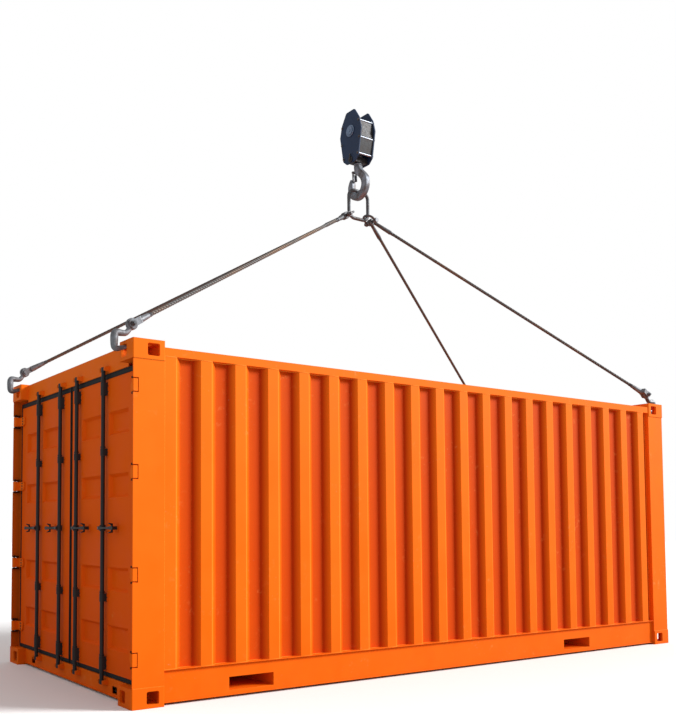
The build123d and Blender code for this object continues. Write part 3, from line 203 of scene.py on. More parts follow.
containerPaint = {
    "redOrange": (0.90, 0.128, 0.0015, 1),     # redder orange of the paint, low down
    "paleOrange": (0.96, 0.178, 0.008, 1),      # lighter, yellower orange higher up, on crests, posts and rails
    "deep": (0.50, 0.036, 0.0001, 1),      # painted shade in the hollows of the long walls
    "doorShade": (0.86, 0.094, 0.0006, 1),     # painted shade: darker orange for the doors, which face away from the key light
    "rubbedAndHighlight": (1.0, 0.33, 0.045, 1),       # rubbed edges, and a painted highlight on the crests' bends and on the welds
    "chip": (0.56, 0.36, 0.26, 1),         # primer that shows in chips
    "grimeColor": (0.42, 0.075, 0.006, 1),
    "recess": (0.035, 0.010, 0.003, 1),    # painted shade behind the hinges
    "roughness": (0.46, 0.66),
    "grime": 0.4,
}
wall = {"start": -2.787, "finish": 2.787, "pitch": 0.284, "crest": 0.091, "slope": 0.051, "depth": 0.041,
        "inset": 0.010}


# painted shade in a long wall's hollows, by how far a point lies behind its crests, darkest towards the far side of
# each hollow; and a painted highlight along each crest's bend
def wallShadeAndHighlight(tree, vector):
    axes = splitAxes(tree, vector)
    crest = container["side"] - wall["inset"]
    depth = mapRange(tree, mathNode(tree, "ABSOLUTE", axes["Y"]), crest - 0.004, crest - 0.034)
    along = mathNode(tree, "DIVIDE", mathNode(tree, "SUBTRACT", axes["X"], wall["start"]), wall["pitch"])
    phase = mathNode(tree, "FRACT", along)
    valley = (wall["crest"] + wall["slope"]) / wall["pitch"]
    side = mapRange(tree, phase, valley - 0.06, valley + 0.34, 0.55, 1.0)
    bend = mathNode(tree, "ABSOLUTE", mathNode(tree, "SUBTRACT", phase, wall["crest"] / wall["pitch"]))
    line = mapRange(tree, bend, 0.017, 0.007)
    return mathNode(tree, "MULTIPLY", depth, side), line


# orange enamel: lighter and yellower upward, with chips, scuffs and a little dirt near the ground
def makeContainerPaint(name, chips, edgeWidth, first="redOrange", second="paleOrange", paintedWallShading=False, recessed=False):
    material, tree, shader, vector = newMaterial(name)
    ripple = useGroup(tree, rippleGroup, vector, Scale=95.0)
    flecks = useGroup(tree, fleckGroup, vector, Amount=chips)
    edges = useGroup(tree, edgeGroup, vector, Width=edgeWidth, Amount=0.45)
    axes = splitAxes(tree, vector)
    # lighter and yellower towards the top
    height = mapRange(tree, axes["Z"], 0.2, 2.5)
    tone = mathNode(tree, "ADD", mathNode(tree, "MULTIPLY", height, 0.7),
                    mapRange(tree, ripple.outputs["Rough"], 0.0, 1.0, 0.0, 0.3))
    color = mixColor(tree, tone, containerPaint[first], containerPaint[second])
    if paintedWallShading:
        # painted shade in the hollows, and a painted highlight on the crests' bends
        valleyShade, crestHighlight = wallShadeAndHighlight(tree, vector)
        color = mixColor(tree, valleyShade, color, containerPaint["deep"])
        # painted highlight: a thin light line along each crest's bend
        color = mixColor(tree, mathNode(tree, "MULTIPLY", crestHighlight, 0.5), color, containerPaint["rubbedAndHighlight"])
    if recessed:
        # painted shade in the pocket between the post's lip and the door's edge
        inside = mapRange(tree, mathNode(tree, "ABSOLUTE", axes["Y"]), 1.2052, 1.2046)
        front = mapRange(tree, axes["X"], -2.950, -2.962)
        color = mixColor(tree, mathNode(tree, "MULTIPLY", inside, front), color, containerPaint["recess"])
    low = mapRange(tree, axes["Z"], 0.5, 0.0)
    dirtNoise = noiseNode(tree, vector, 9.0, 5.0)
    dirt = mathNode(tree, "MULTIPLY", mathNode(tree, "MULTIPLY", low, dirtNoise.outputs[0]), containerPaint["grime"])
    color = mixColor(tree, dirt, color, containerPaint["grimeColor"])
    color = mixColor(tree, flecks.outputs["Scuff"], color, (0.86, 0.27, 0.07, 1))
    color = mixColor(tree, flecks.outputs["Mask"], color, containerPaint["chip"])
    color = mixColor(tree, edges.outputs["Mask"], color, containerPaint["rubbedAndHighlight"])
    tree.links.new(color, shader.inputs["Base Color"])
    smooth, rough = containerPaint["roughness"]
    tree.links.new(mapRange(tree, ripple.outputs["Rough"], 0.0, 1.0, smooth, rough), shader.inputs["Roughness"])
    shader.inputs["Specular IOR Level"].default_value = 0.05
    addBump(tree, shader, ripple.outputs["Height"], 0.25, 0.0015, edgeRound=0.004)
    return material


steelPaint = {
    "base": (0.013, 0.014, 0.016, 1),
    "worn": (0.060, 0.056, 0.052, 1),
    "bare": (0.20, 0.19, 0.18, 1),
}


# black enamel on bars, rubbed grey on its edges and where hands reach it
def makeBlackPaint():
    material, tree, shader, vector = newMaterial("blackBarPaint")
    ripple = useGroup(tree, rippleGroup, vector, Scale=140.0)
    edges = useGroup(tree, edgeGroup, vector, Width=0.0015, Amount=0.5)
    flecks = useGroup(tree, fleckGroup, vector, Amount=0.7)
    color = mixColor(tree, ripple.outputs["Rough"], steelPaint["base"], (0.025, 0.025, 0.026, 1))
    color = mixColor(tree, flecks.outputs["Scuff"], color, steelPaint["worn"])
    color = mixColor(tree, edges.outputs["Mask"], color, steelPaint["bare"])
    tree.links.new(color, shader.inputs["Base Color"])
    tree.links.new(mapRange(tree, ripple.outputs["Rough"], 0.0, 1.0, 0.38, 0.6), shader.inputs["Roughness"])
    shader.inputs["Specular IOR Level"].default_value = 0.35
    addBump(tree, shader, ripple.outputs["Height"], 0.3, 0.001)
    return material


# door rubber: dull black with a dusty bloom
def makeGasketRubber():
    material, tree, shader, vector = newMaterial("gasketRubber")
    bloom = noiseNode(tree, vector, 22.0, 5.0)
    color = mixColor(tree, mapRange(tree, bloom.outputs[0], 0.45, 0.75), (0.010, 0.010, 0.011, 1),
                     (0.028, 0.027, 0.026, 1))
    tree.links.new(color, shader.inputs["Base Color"])
    tree.links.new(mapRange(tree, bloom.outputs[0], 0.2, 0.8, 0.6, 0.85), shader.inputs["Roughness"])
    shader.inputs["Specular IOR Level"].default_value = 0.3
    addBump(tree, shader, noiseNode(tree, vector, 320.0, 2.0).outputs[0], 0.25, 0.0006)
    return material


forgedSteel = {
    "rust": (0.13, 0.065, 0.032, 1),
    "rubbed": (0.46, 0.48, 0.51, 1),
    "roughness": (0.42, 0.62),
    "metal": 0.35,
}


# forged fittings: scaly metal with dark hollows, bright rubbed edges and a touch of rust
def makeForgedSteel(name, dark, light, rustAmount, wear=0.5):
    material, tree, shader, vector = newMaterial(name)
    scale = noiseNode(tree, vector, 14.0, 6.0, 0.65)
    fine = noiseNode(tree, vector, 90.0, 4.0)
    edges = useGroup(tree, edgeGroup, vector, Width=0.003, Amount=wear)
    tone = mapRange(tree, scale.outputs[0], 0.35, 0.68)
    color = mixColor(tree, tone, dark, light)
    rustZone = mathNode(tree, "MULTIPLY", mapRange(tree, scale.outputs[0], 0.52, 0.4), rustAmount)
    color = mixColor(tree, rustZone, color, forgedSteel["rust"])
    color = mixColor(tree, edges.outputs["Mask"], color, forgedSteel["rubbed"])
    tree.links.new(color, shader.inputs["Base Color"])
    shader.inputs["Metallic"].default_value = forgedSteel["metal"]
    smooth, rough = forgedSteel["roughness"]
    tree.links.new(mapRange(tree, fine.outputs[0], 0.3, 0.7, smooth, rough), shader.inputs["Roughness"])
    height = mathNode(tree, "ADD", fine.outputs[0], mathNode(tree, "MULTIPLY", scale.outputs[0], 2.0))
    addBump(tree, shader, height, 0.45, 0.0015)
    return material


# wire rope: greasy steel strands, dark in the lay and rust brown in places along the leg
def makeWireSteel():
    material, tree, shader, vector = newMaterial("wireSteel")
    along = noiseNode(tree, vector, 1.6, 3.0)
    grain = noiseNode(tree, vector, 260.0, 3.0)
    color = mixColor(tree, mapRange(tree, grain.outputs[0], 0.35, 0.65), (0.030, 0.029, 0.028, 1),
                     (0.15, 0.145, 0.14, 1))
    color = mixColor(tree, mapRange(tree, along.outputs[0], 0.48, 0.64, 0.0, 0.6), color, (0.19, 0.098, 0.042, 1))
    tree.links.new(color, shader.inputs["Base Color"])
    shader.inputs["Metallic"].default_value = 0.4
    shader.inputs["Roughness"].default_value = 0.5
    addBump(tree, shader, grain.outputs[0], 0.4, 0.0008)
    return material


# block paint: dark blue on the cheeks, chipped along their edges and freckled with rust near the bolts
def makeBlockPaint():
    material, tree, shader, vector = newMaterial("blockPaint")
    ripple = useGroup(tree, rippleGroup, vector, Scale=120.0)
    edges = useGroup(tree, edgeGroup, vector, Width=0.003, Amount=0.8)
    flecks = useGroup(tree, fleckGroup, vector, Amount=0.9)
    color = mixColor(tree, ripple.outputs["Rough"], (0.017, 0.034, 0.078, 1), (0.026, 0.050, 0.108, 1))
    color = mixColor(tree, flecks.outputs["Mask"], color, (0.09, 0.05, 0.03, 1))
    color = mixColor(tree, edges.outputs["Mask"], color, (0.30, 0.32, 0.34, 1))
    tree.links.new(color, shader.inputs["Base Color"])
    tree.links.new(mapRange(tree, ripple.outputs["Rough"], 0.0, 1.0, 0.4, 0.56), shader.inputs["Roughness"])
    shader.inputs["Specular IOR Level"].default_value = 0.2
    addBump(tree, shader, ripple.outputs["Height"], 0.3, 0.001, edgeRound=0.003)
    return material


# machined steel: pins, tie bars and the axle's bosses
def makeBrightSteel(name="brightSteel", dark=(0.30, 0.33, 0.38, 1), light=(0.55, 0.60, 0.68, 1)):
    material, tree, shader, vector = newMaterial(name)
    brush = noiseNode(tree, vector, 60.0, 6.0, 0.7)
    color = mixColor(tree, mapRange(tree, brush.outputs[0], 0.35, 0.7), dark, light)
    tree.links.new(color, shader.inputs["Base Color"])
    shader.inputs["Metallic"].default_value = 0.7
    tree.links.new(mapRange(tree, brush.outputs[0], 0.3, 0.7, 0.3, 0.48), shader.inputs["Roughness"])
    addBump(tree, shader, brush.outputs[0], 0.2, 0.0008)
    return material


# floor plywood: long grain along the container, varnish scuffed
def makeDeckWood():
    material, tree, shader, vector = newMaterial("deckPlywood")
    mapping = tree.nodes.new("ShaderNodeMapping")
    mapping.inputs["Scale"].default_value = (1.2, 22.0, 22.0)
    tree.links.new(vector, mapping.inputs["Vector"])
    grain = noiseNode(tree, mapping.outputs[0], 3.0, 6.0, 0.62)
    color = mixColor(tree, mapRange(tree, grain.outputs[0], 0.3, 0.72), (0.18, 0.085, 0.036, 1),
                     (0.42, 0.24, 0.115, 1))
    scuffs = useGroup(tree, fleckGroup, vector, Amount=0.6)
    color = mixColor(tree, scuffs.outputs["Scuff"], color, (0.5, 0.4, 0.3, 1))
    tree.links.new(color, shader.inputs["Base Color"])
    tree.links.new(mapRange(tree, grain.outputs[0], 0.3, 0.7, 0.42, 0.62), shader.inputs["Roughness"])
    addBump(tree, shader, grain.outputs[0], 0.3, 0.001)
    return material


framePaint = makeContainerPaint("framePaint", 0.55, 0.005)
# the rear posts carry painted shade in the pocket behind the hinges
postPaintAndShade = makeContainerPaint("postPaintAndShade", 0.6, 0.005, recessed=True)
# the long walls carry painted shade in their hollows and a painted highlight on their crests' bends
wallPaintAndShading = makeContainerPaint("wallPaintAndShading", 0.5, 0.004, paintedWallShading=True)
# painted shade: the doors take a darker orange
doorPaintAndShade = makeContainerPaint("doorPaintAndShade", 0.45, 0.004, "doorShade", "redOrange")
# the welds' paint is lighter: a painted highlight along each joint
weldPaintAndHighlight = makeContainerPaint("weldPaintAndHighlight", 0.3, 0.002, "paleOrange", "rubbedAndHighlight")
blackPaint = makeBlackPaint()
gasketRubber = makeGasketRubber()
fittingSteel = makeForgedSteel("fittingSteel", (0.075, 0.078, 0.085, 1), (0.26, 0.275, 0.30, 1), 0.2)
hookSteel = makeForgedSteel("hookSteel", (0.10, 0.105, 0.115, 1), (0.27, 0.30, 0.35, 1), 0.3)
linkSteel = makeForgedSteel("linkSteel", (0.045, 0.047, 0.052, 1), (0.14, 0.148, 0.16, 1), 0.25, 0.35)
blockSteel = makeForgedSteel("blockSteel", (0.012, 0.012, 0.013, 1), (0.040, 0.040, 0.043, 1), 0.1, 0.1)
wireSteel = makeWireSteel()
blockPaint = makeBlockPaint()
brightSteel = makeBrightSteel()
hubSteel = makeBrightSteel("hubSteel", (0.13, 0.18, 0.27, 1), (0.24, 0.32, 0.45, 1))
deckWood = makeDeckWood()

rodWords = [side + "_" + word for side in ("right", "left") for word in ("outer", "inner")]
finishOf = {
    framePaint: ["top_castings", "bottom_castings", "door_header", "door_sill", "front_top_rail",
                 "front_base_rail", "top_rail_right", "top_rail_left", "base_rail_right", "base_rail_left",
                 "cross_members", "fork_pockets", "hinge_straps_right", "hinge_straps_left", "front_wall",
                 "roof_panel", "front_post_right", "front_post_left", "rod_keepers"],
    postPaintAndShade: ["rear_post_right", "rear_post_left"],
    wallPaintAndShading: ["side_wall_right", "side_wall_left"],
    doorPaintAndShade: ["door_right", "door_left"],
    gasketRubber: ["door_gasket_right", "door_gasket_left"],
    blackPaint: ["door_furniture_right", "door_furniture_left", "hinge_pins"]
    + ["lock_rod_" + word for word in rodWords] + ["rod_handle_" + word for word in rodWords],
    deckWood: ["floor_deck"],
    fittingSteel: ["end_hooks", "leg_forks", "hook_latch"],
    hookSteel: ["crane_hook"],
    linkSteel: ["sling_shackles", "master_link", "leg_eyes"],
    wireSteel: ["sling_legs"],
    blockPaint: ["block_cheeks"],
    blockSteel: ["block_crosshead", "rope_guards", "sheaves"],
    brightSteel: ["tie_bars"],
    hubSteel: ["sheave_axle"],
}
for material, names in finishOf.items():
    for name in names:
        nodes[name].data.materials.clear()
        nodes[name].data.materials.append(material)
print("finishes given:", sum(len(names) for names in finishOf.values()))


# pieces that the solids leave to the looks

def meshFrom(bm):
    bmesh.ops.recalc_face_normals(bm, faces=bm.faces)
    mesh = bpy.data.meshes.new("shape")
    bm.to_mesh(mesh)
    bm.free()
    return mesh


def finishPiece(name, parts, material, body, smooth=False, crease=35.0):
    # parts: small meshes, each with the places where it stands
    bm = bmesh.new()
    for shape, places in parts:
        for place in places:
            copy = shape.copy()
            copy.transform(place)
            bm.from_mesh(copy)
            bpy.data.meshes.remove(copy)
    bmesh.ops.recalc_face_normals(bm, faces=bm.faces)
    mesh = bpy.data.meshes.new(name)
    bm.to_mesh(mesh)
    bm.free()
    mesh.materials.append(material)
    if smooth:
        mesh.shade_smooth()
        mesh.set_sharp_from_angle(angle=math.radians(crease))
    piece = bpy.data.objects.new(name, mesh)
    bpy.context.scene.collection.objects.link(piece)
    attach(piece, body)
    return piece


def pointing(place, way):
    return Matrix.Translation(place) @ Vector(way).to_track_quat("Z", "Y").to_matrix().to_4x4()


def bevelAll(bm, width, segments=2, least=30.0):
    sharp = [edge for edge in bm.edges if len(edge.link_faces) == 2
             and edge.calc_face_angle(0.0) > math.radians(least)]
    bmesh.ops.bevel(bm, geom=sharp, offset=width, segments=segments, profile=0.5, affect="EDGES", material=-1)


def plateShape(size, width=0.001, segments=1):
    # a plate by its three sizes, standing on its own base
    bm = bmesh.new()
    bmesh.ops.create_cube(bm, size=1.0)
    bmesh.ops.scale(bm, vec=size, verts=bm.verts)
    bmesh.ops.translate(bm, vec=(0, 0, size[2] / 2), verts=bm.verts)
    bevelAll(bm, width, segments)
    return meshFrom(bm)


def discShape(radius, height, width=0.0015, sides=20, top=None):
    bm = bmesh.new()
    bmesh.ops.create_cone(bm, cap_ends=True, segments=sides, radius1=radius, radius2=top or radius, depth=height)
    bmesh.ops.translate(bm, vec=(0, 0, height / 2), verts=bm.verts)
    bevelAll(bm, width, 2, 50.0)
    return meshFrom(bm)


def nutShape(radius, height, stub=0.0):
    # a hexagon with its corners taken off, on a thin washer, with the thread's end standing out of it
    parts = bmesh.new()
    for shape in (discShape(radius * 1.2, 0.0022, 0.0005, 16), discShape(radius, height, radius * 0.07, 6),
                  discShape(radius * 0.55, height + stub, 0.001, 12)):
        parts.from_mesh(shape)
        bpy.data.meshes.remove(shape)
    return meshFrom(parts)


def ringShape(inner, outer, height, width=0.0015, steps=28):
    # a flat ring about its own axis, standing on its base
    bm = bmesh.new()
    corners = [bm.verts.new((radius, 0, level)) for radius, level in
               ((inner, 0), (outer, 0), (outer, height), (inner, height))]
    edges = [bm.edges.new((corners[i], corners[(i + 1) % 4])) for i in range(4)]
    bmesh.ops.spin(bm, geom=corners + edges, cent=(0, 0, 0), axis=(0, 0, 1), angle=2 * math.pi, steps=steps,
                   use_merge=True, use_duplicate=False)
    bmesh.ops.remove_doubles(bm, verts=bm.verts, dist=1e-6)
    bevelAll(bm, width, 2, 50.0)
    return meshFrom(bm)


def tubeShape(points, radii, sides=8, closed=False, smooth=False):
    # a bar drawn along points through a bevelled curve, each point with its own radius
    curve = bpy.data.curves.new("tube", "CURVE")
    curve.dimensions = "3D"
    curve.bevel_depth = 1.0
    curve.bevel_resolution = max(0, sides // 2 - 2)
    curve.use_fill_caps = not closed
    spline = curve.splines.new("NURBS" if smooth else "POLY")
    spline.points.add(len(points) - 1)
    for point, co, radius in zip(spline.points, points, radii):
        point.co = (*co, 1.0)
        point.radius = radius
    spline.use_cyclic_u = closed
    if smooth:
        spline.order_u = 3
        spline.use_endpoint_u = True
        spline.resolution_u = 6
    loose = bpy.data.objects.new("tube", curve)
    mesh = bpy.data.meshes.new_from_object(loose)
    bpy.data.objects.remove(loose)
    bpy.data.curves.remove(curve)
    bm = bmesh.new()
    bm.from_mesh(mesh)
    bpy.data.meshes.remove(mesh)
    bmesh.ops.remove_doubles(bm, verts=bm.verts, dist=1e-6)
    return meshFrom(bm)


here = Matrix.Identity(4)
sides = {"right": -1, "left": 1}


def onDoor(side, depth, fromSide, height):
    # a place by its depth behind the door end, its distance from the container's side, and its height
    return Vector((container["door"] + depth, sides[side] * (container["side"] - fromSide), height))


# wire rope legs: six strands laid together, with a wire seizing where a leg enters its socket
ropeLay = {"strands": 6, "strandRadius": 0.0052, "layRadius": 0.0098, "pitch": 0.19, "stepsPerTurn": 12,
           "sides": 6, "seizingWire": 0.0016, "seizingTurns": 9}


def legAxes():
    # each leg's two ends, read from its own quarter of the frame's rope node
    points = [vert.co.copy() for vert in nodes["sling_legs"].data.vertices]
    axes = []
    for signX in (-1, 1):
        for signY in (-1, 1):
            mine = [p for p in points if p.x * signX > 0 and p.y * signY > 0]
            middle = sum(p.z for p in mine) / len(mine)
            lower = [p for p in mine if p.z < middle]
            upper = [p for p in mine if p.z > middle]
            axes.append((sum(lower, Vector()) / len(lower), sum(upper, Vector()) / len(upper)))
    return axes


def helixShape(radius, wireRadius, turns, length, stepsPerTurn, wireSides):
    bm = bmesh.new()
    steps = round(turns * stepsPerTurn)
    rise = math.atan2(length, turns * 2 * math.pi * radius)
    lean = Matrix.Rotation(rise - math.pi / 2, 4, "X")
    ring = bmesh.ops.create_circle(bm, cap_ends=False, segments=wireSides, radius=wireRadius,
                                   matrix=Matrix.Translation((radius, 0, 0)) @ lean)
    edges = list({edge for vert in ring["verts"] for edge in vert.link_edges})
    bmesh.ops.spin(bm, geom=edges, cent=(0, 0, 0), axis=(0, 0, 1), angle=2 * math.pi * turns, steps=steps,
                   dvec=(0, 0, length / steps), use_duplicate=False)
    bmesh.ops.holes_fill(bm, edges=[edge for edge in bm.edges if edge.is_boundary], sides=wireSides)
    return meshFrom(bm)


def buildRopes():
    axes = legAxes()
    length = (axes[0][1] - axes[0][0]).length
    strand = helixShape(ropeLay["layRadius"], ropeLay["strandRadius"], length / ropeLay["pitch"], length,
                        ropeLay["stepsPerTurn"], ropeLay["sides"])
    seizing = helixShape(ropeLay["layRadius"] + ropeLay["strandRadius"], ropeLay["seizingWire"],
                         ropeLay["seizingTurns"], ropeLay["seizingTurns"] * ropeLay["seizingWire"] * 2, 10, 5)
    turns = [Matrix.Rotation(2 * math.pi * i / ropeLay["strands"], 4, "Z") for i in range(ropeLay["strands"])]
    strandPlaces = [pointing(start, finish - start) @ turn for start, finish in axes for turn in turns]
    ropes = finishPiece("wireRopes", [(strand, strandPlaces)], wireSteel, "container", smooth=True)
    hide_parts("sling_legs")
    ends = [pointing(start, finish - start) for start, finish in axes]
    ends += [pointing(finish, start - finish) for start, finish in axes]
    finishPiece("ropeSeizings", [(seizing, ends)], linkSteel, "container", smooth=True)


buildRopes()
print("wire ropes laid")

# end hooks: a heavy forged bar round the casting's corner, thick at the bend, with a round eye boss
endHook = {
    "across": 0.140,    # from the container's side to the hook's middle
    "line": ((0.040, 2.4035), (0.030, 2.4008), (-0.004, 2.3925), (-0.071, 2.3725), (-0.072, 2.431),
             (-0.070, 2.492), (-0.020, 2.488), (0.026, 2.490), (0.058, 2.556)),
    "radii": (0.004, 0.0125, 0.0145, 0.022, 0.027, 0.027, 0.022, 0.019, 0.018),
    "eye": (0.058, 2.558), "eyeRadius": 0.041, "eyeThickness": 0.034, "bore": 0.0123,
    "pinEnd": 0.0425,
}


def buildEndHooks():
    across = container["side"] - endHook["across"]
    points = [(container["door"] + a, 0, b) for a, b in endHook["line"]]
    bar = tubeShape(points, endHook["radii"], sides=16, smooth=True)
    boss = ringShape(endHook["bore"], endHook["eyeRadius"], endHook["eyeThickness"], 0.005)
    eye = Vector((container["door"] + endHook["eye"][0], endHook["eyeThickness"] / 2, endHook["eye"][1]))
    bossPlace = pointing(eye, (0, -1, 0))
    nut = nutShape(0.016, 0.010, 0.006)
    cotter = ringShape(0.0075, 0.0105, 0.0028, 0.0006, 14)
    hookPlaces, nutPlaces = [], []
    for end in (1, -1):
        for side in (1, -1):
            turn = Matrix.Diagonal((end, 1, 1, 1)) @ Matrix.Translation((0, side * across, 0))
            hookPlaces.append(turn)
            at = Vector((end * eye.x, side * (across + endHook["pinEnd"]), eye.z))
            nutPlaces.append(pointing(at, (0, side, 0)))
    hooks = finishPiece("endHookForgings", [(bar, hookPlaces), (boss, [p @ bossPlace for p in hookPlaces])],
                        fittingSteel, "container", smooth=True)
    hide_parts("end_hooks")
    finishPiece("hookPinNuts", [(nut, nutPlaces), (cotter, [p @ Matrix.Translation((0, 0, 0.013)) for p in nutPlaces])],
                linkSteel, "container")


buildEndHooks()

# top of the sling: shackle pins with a nut and a split pin at one end, a turned head at the other
shackle = {"pin": (0.16795, 4.1884), "half": 0.0738}


def buildShackleNuts():
    nut, head = nutShape(0.021, 0.014, 0.010), discShape(0.021, 0.007, 0.002)
    split = ringShape(0.011, 0.014, 0.003, 0.0008, 16)
    x, z = shackle["pin"]
    nuts = [pointing((end * x, end * shackle["half"], z), (0, end, 0)) for end in (-1, 1)]
    heads = [pointing((end * x, -end * shackle["half"], z), (0, -end, 0)) for end in (-1, 1)]
    finishPiece("shackleNuts", [(nut, nuts), (head, heads), (split, [p @ Matrix.Translation((0, 0, 0.018)) for p in nuts])],
                fittingSteel, "container")


buildShackleNuts()

# doors: guides, catches, hinge bolts and gasket ribs
rods = {"places": (0.560, 1.050), "depth": 0.040, "radius": 0.015}
guides = {
    "levels": ((2.124, 0.093), (1.692, 0.050), (0.660, 0.056), (0.184, 0.093)),
    "inner": 0.0154, "outer": 0.0195, "back": 0.0265, "flange": (0.004, 0.020, 0.012),
}
handleCatch = {
    "level": 1.178, "toHinge": 0.180, "width": 0.014,
    "outline": ((0.070, 0.012), (0.036, 0.012), (0.036, 0.031), (0.006, 0.036), (0.004, 0.031), (0.024, 0.021),
                (0.028, 0.0), (0.024, -0.021), (0.004, -0.031), (0.006, -0.036), (0.036, -0.031),
                (0.036, -0.012), (0.070, -0.012)),
}
hinges = {"levels": (2.124, 1.548, 0.872, 0.319), "bolts": (-0.024, 0.0, 0.024), "fromSide": 0.112, "front": 0.056}


def guideStrapShape(height):
    # a flat strap bent round the rod, its two legs back to the door
    bm = bmesh.new()
    inner, outer, back = guides["inner"], guides["outer"], guides["back"]
    corners = [bm.verts.new((back, y, z)) for y, z in ((inner, 0), (outer, 0), (outer, height), (inner, height))]
    last = [bm.faces.new(corners)]
    pulled = bmesh.ops.extrude_face_region(bm, geom=last)["geom"]
    bmesh.ops.translate(bm, vec=(-back, 0, 0), verts=[g for g in pulled if isinstance(g, bmesh.types.BMVert)])
    last = [g for g in pulled if isinstance(g, bmesh.types.BMFace)]
    turned = bmesh.ops.spin(bm, geom=last, cent=(0, 0, 0), axis=(0, 0, 1), angle=math.pi, steps=14,
                            use_duplicate=False)["geom_last"]
    last = [g for g in turned if isinstance(g, bmesh.types.BMFace)]
    pulled = bmesh.ops.extrude_face_region(bm, geom=last)["geom"]
    bmesh.ops.translate(bm, vec=(back, 0, 0), verts=[g for g in pulled if isinstance(g, bmesh.types.BMVert)])
    # the faces that the extrusions left standing inside the strap
    inner = [face for face in bm.faces if all(len(edge.link_faces) > 2 for edge in face.edges)]
    bmesh.ops.delete(bm, geom=inner, context="FACES_ONLY")
    return meshFrom(bm)


def catchShape():
    bm = bmesh.new()
    half = handleCatch["width"] / 2
    verts = [bm.verts.new((a, -half, b)) for a, b in handleCatch["outline"]]
    face = bm.faces.new(verts)
    pulled = bmesh.ops.extrude_face_region(bm, geom=[face])["geom"]
    bmesh.ops.translate(bm, vec=(0, 2 * half, 0), verts=[g for g in pulled if isinstance(g, bmesh.types.BMVert)])
    bevelAll(bm, 0.0012, 1)
    return meshFrom(bm)


def buildDoorFurniture(side):
    bolt = discShape(0.0045, 0.004, 0.0012, 8)
    thick, wide, short = guides["flange"]
    straps, flanges, bolts = [], [], []
    for place in rods["places"]:
        for bottom, height in guides["levels"]:
            straps.append((guideStrapShape(height), [Matrix.Translation(onDoor(side, rods["depth"], place, bottom))]))
            middle = bottom + height / 2
            shape = plateShape((thick, wide, height - short), 0.0008)
            ends = (0.02, -0.02) if height > 0.08 else (0.0,)
            places = []
            for hand in (-1, 1):
                reach = place + hand * (guides["outer"] + wide / 2)
                places.append(Matrix.Translation(onDoor(side, container["face"] - thick / 2, reach,
                                                        bottom + short / 2)))
                bolts += [pointing(onDoor(side, container["face"] - thick, reach, middle + rise), (-1, 0, 0))
                          for rise in ends]
            flanges.append((shape, places))
        level = handleCatch["level"]
        reach = place - handleCatch["toHinge"]
        straps.append((catchShape(), [Matrix.Translation(onDoor(side, 0, reach, level))]))
        flanges.append((plateShape((thick, 0.044, 0.060), 0.0008),
                        [Matrix.Translation(onDoor(side, container["face"] - thick / 2, reach, level - 0.030))]))
    body = "door_" + side
    furniture = finishPiece(side + "GuideStraps", straps, blackPaint, body, smooth=True)
    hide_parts("door_furniture_" + side)
    finishPiece(side + "GuideFlanges", flanges, doorPaintAndShade, body)
    finishPiece(side + "GuideBolts", [(bolt, bolts)], blackPaint, body)


def buildHingeBolts(side):
    bolt = discShape(0.0085, 0.0045, 0.002, 12)
    places = [pointing(onDoor(side, hinges["front"], hinges["fromSide"], level + rise), (-1, 0, 0))
              for level in hinges["levels"] for rise in hinges["bolts"]]
    finishPiece(side + "HingeBolts", [(bolt, places)], blackPaint, "door_" + side)


gasketRibs = {"outer": (0.0635, 1.2085, 0.1455, 2.2715), "inner": (0.0705, 1.2015, 0.1640, 2.2450),
              "front": 0.068, "radius": 0.0028}


def buildGasketRibs(side):
    shapes = []
    for near, far, low, high in (gasketRibs["outer"], gasketRibs["inner"]):
        corners = [onDoor(side, gasketRibs["front"], a, b)
                   for a, b in ((near, low), (far, low), (far, high), (near, high))]
        shapes.append((tubeShape(corners, [gasketRibs["radius"]] * 4, sides=8, closed=True), [here]))
    finishPiece(side + "GasketRibs", shapes, gasketRubber, "door_" + side, smooth=True)


def buildHandleRivets(side):
    # the bolt that clamps each handle to its rod
    bolt = discShape(0.008, 0.004, 0.0018, 12)
    for place, word in zip(rods["places"], ("outer", "inner")):
        spot = pointing(onDoor(side, 0.006, place, handleCatch["level"]), (-1, 0, 0))
        finishPiece(side + word.capitalize() + "Rivet", [(bolt, [spot])], fittingSteel,
                    "lock_%s_%s" % (side, word))


for side in sides:
    buildDoorFurniture(side)
    buildHingeBolts(side)
    buildGasketRibs(side)
    buildHandleRivets(side)
print("door fittings made")

# weld runs where the frame is joined, in a lighter paint that is a painted highlight, and the sill's turned lip
weld = {"step": 0.012, "radius": 0.0042, "fine": 0.0030, "sides": 6}


def weldShape(start, finish, radius):
    # a tube swelling at every second step
    bm = bmesh.new()
    way = finish - start
    steps = max(2, round(way.length / weld["step"]))
    ring = bmesh.ops.create_circle(bm, cap_ends=False, segments=weld["sides"], radius=radius,
                                   matrix=pointing(start, way))
    edges = list({edge for vert in ring["verts"] for edge in vert.link_edges})
    bmesh.ops.spin(bm, geom=edges, cent=start, axis=way.normalized(), dvec=way / steps, angle=0.0, steps=steps,
                   use_duplicate=False)
    for vert in bm.verts:
        step = round((vert.co - start).dot(way) / way.length_squared * steps)
        middle = start + way * (step / steps)
        vert.co = middle + (vert.co - middle) * (1.0 if step % 2 else 0.74)
    bmesh.ops.holes_fill(bm, edges=[edge for edge in bm.edges if edge.is_boundary], sides=weld["sides"])
    return meshFrom(bm)


def wallLine():
    # the foot of a long wall's sheet: along, and in from the container's side
    x, points = wall["start"], [(wall["start"], wall["inset"])]
    deep = wall["inset"] + wall["depth"]
    while x + wall["crest"] + wall["slope"] < wall["finish"]:
        points += [(x + wall["crest"], wall["inset"]), (x + wall["crest"] + wall["slope"], deep)]
        rise = x + wall["pitch"] - wall["slope"]
        if rise + wall["slope"] + wall["crest"] * 0.3 > wall["finish"]:
            break
        points += [(rise, deep), (x + wall["pitch"], wall["inset"])]
        x += wall["pitch"]
    points.append((wall["finish"], points[-1][1]))
    return points


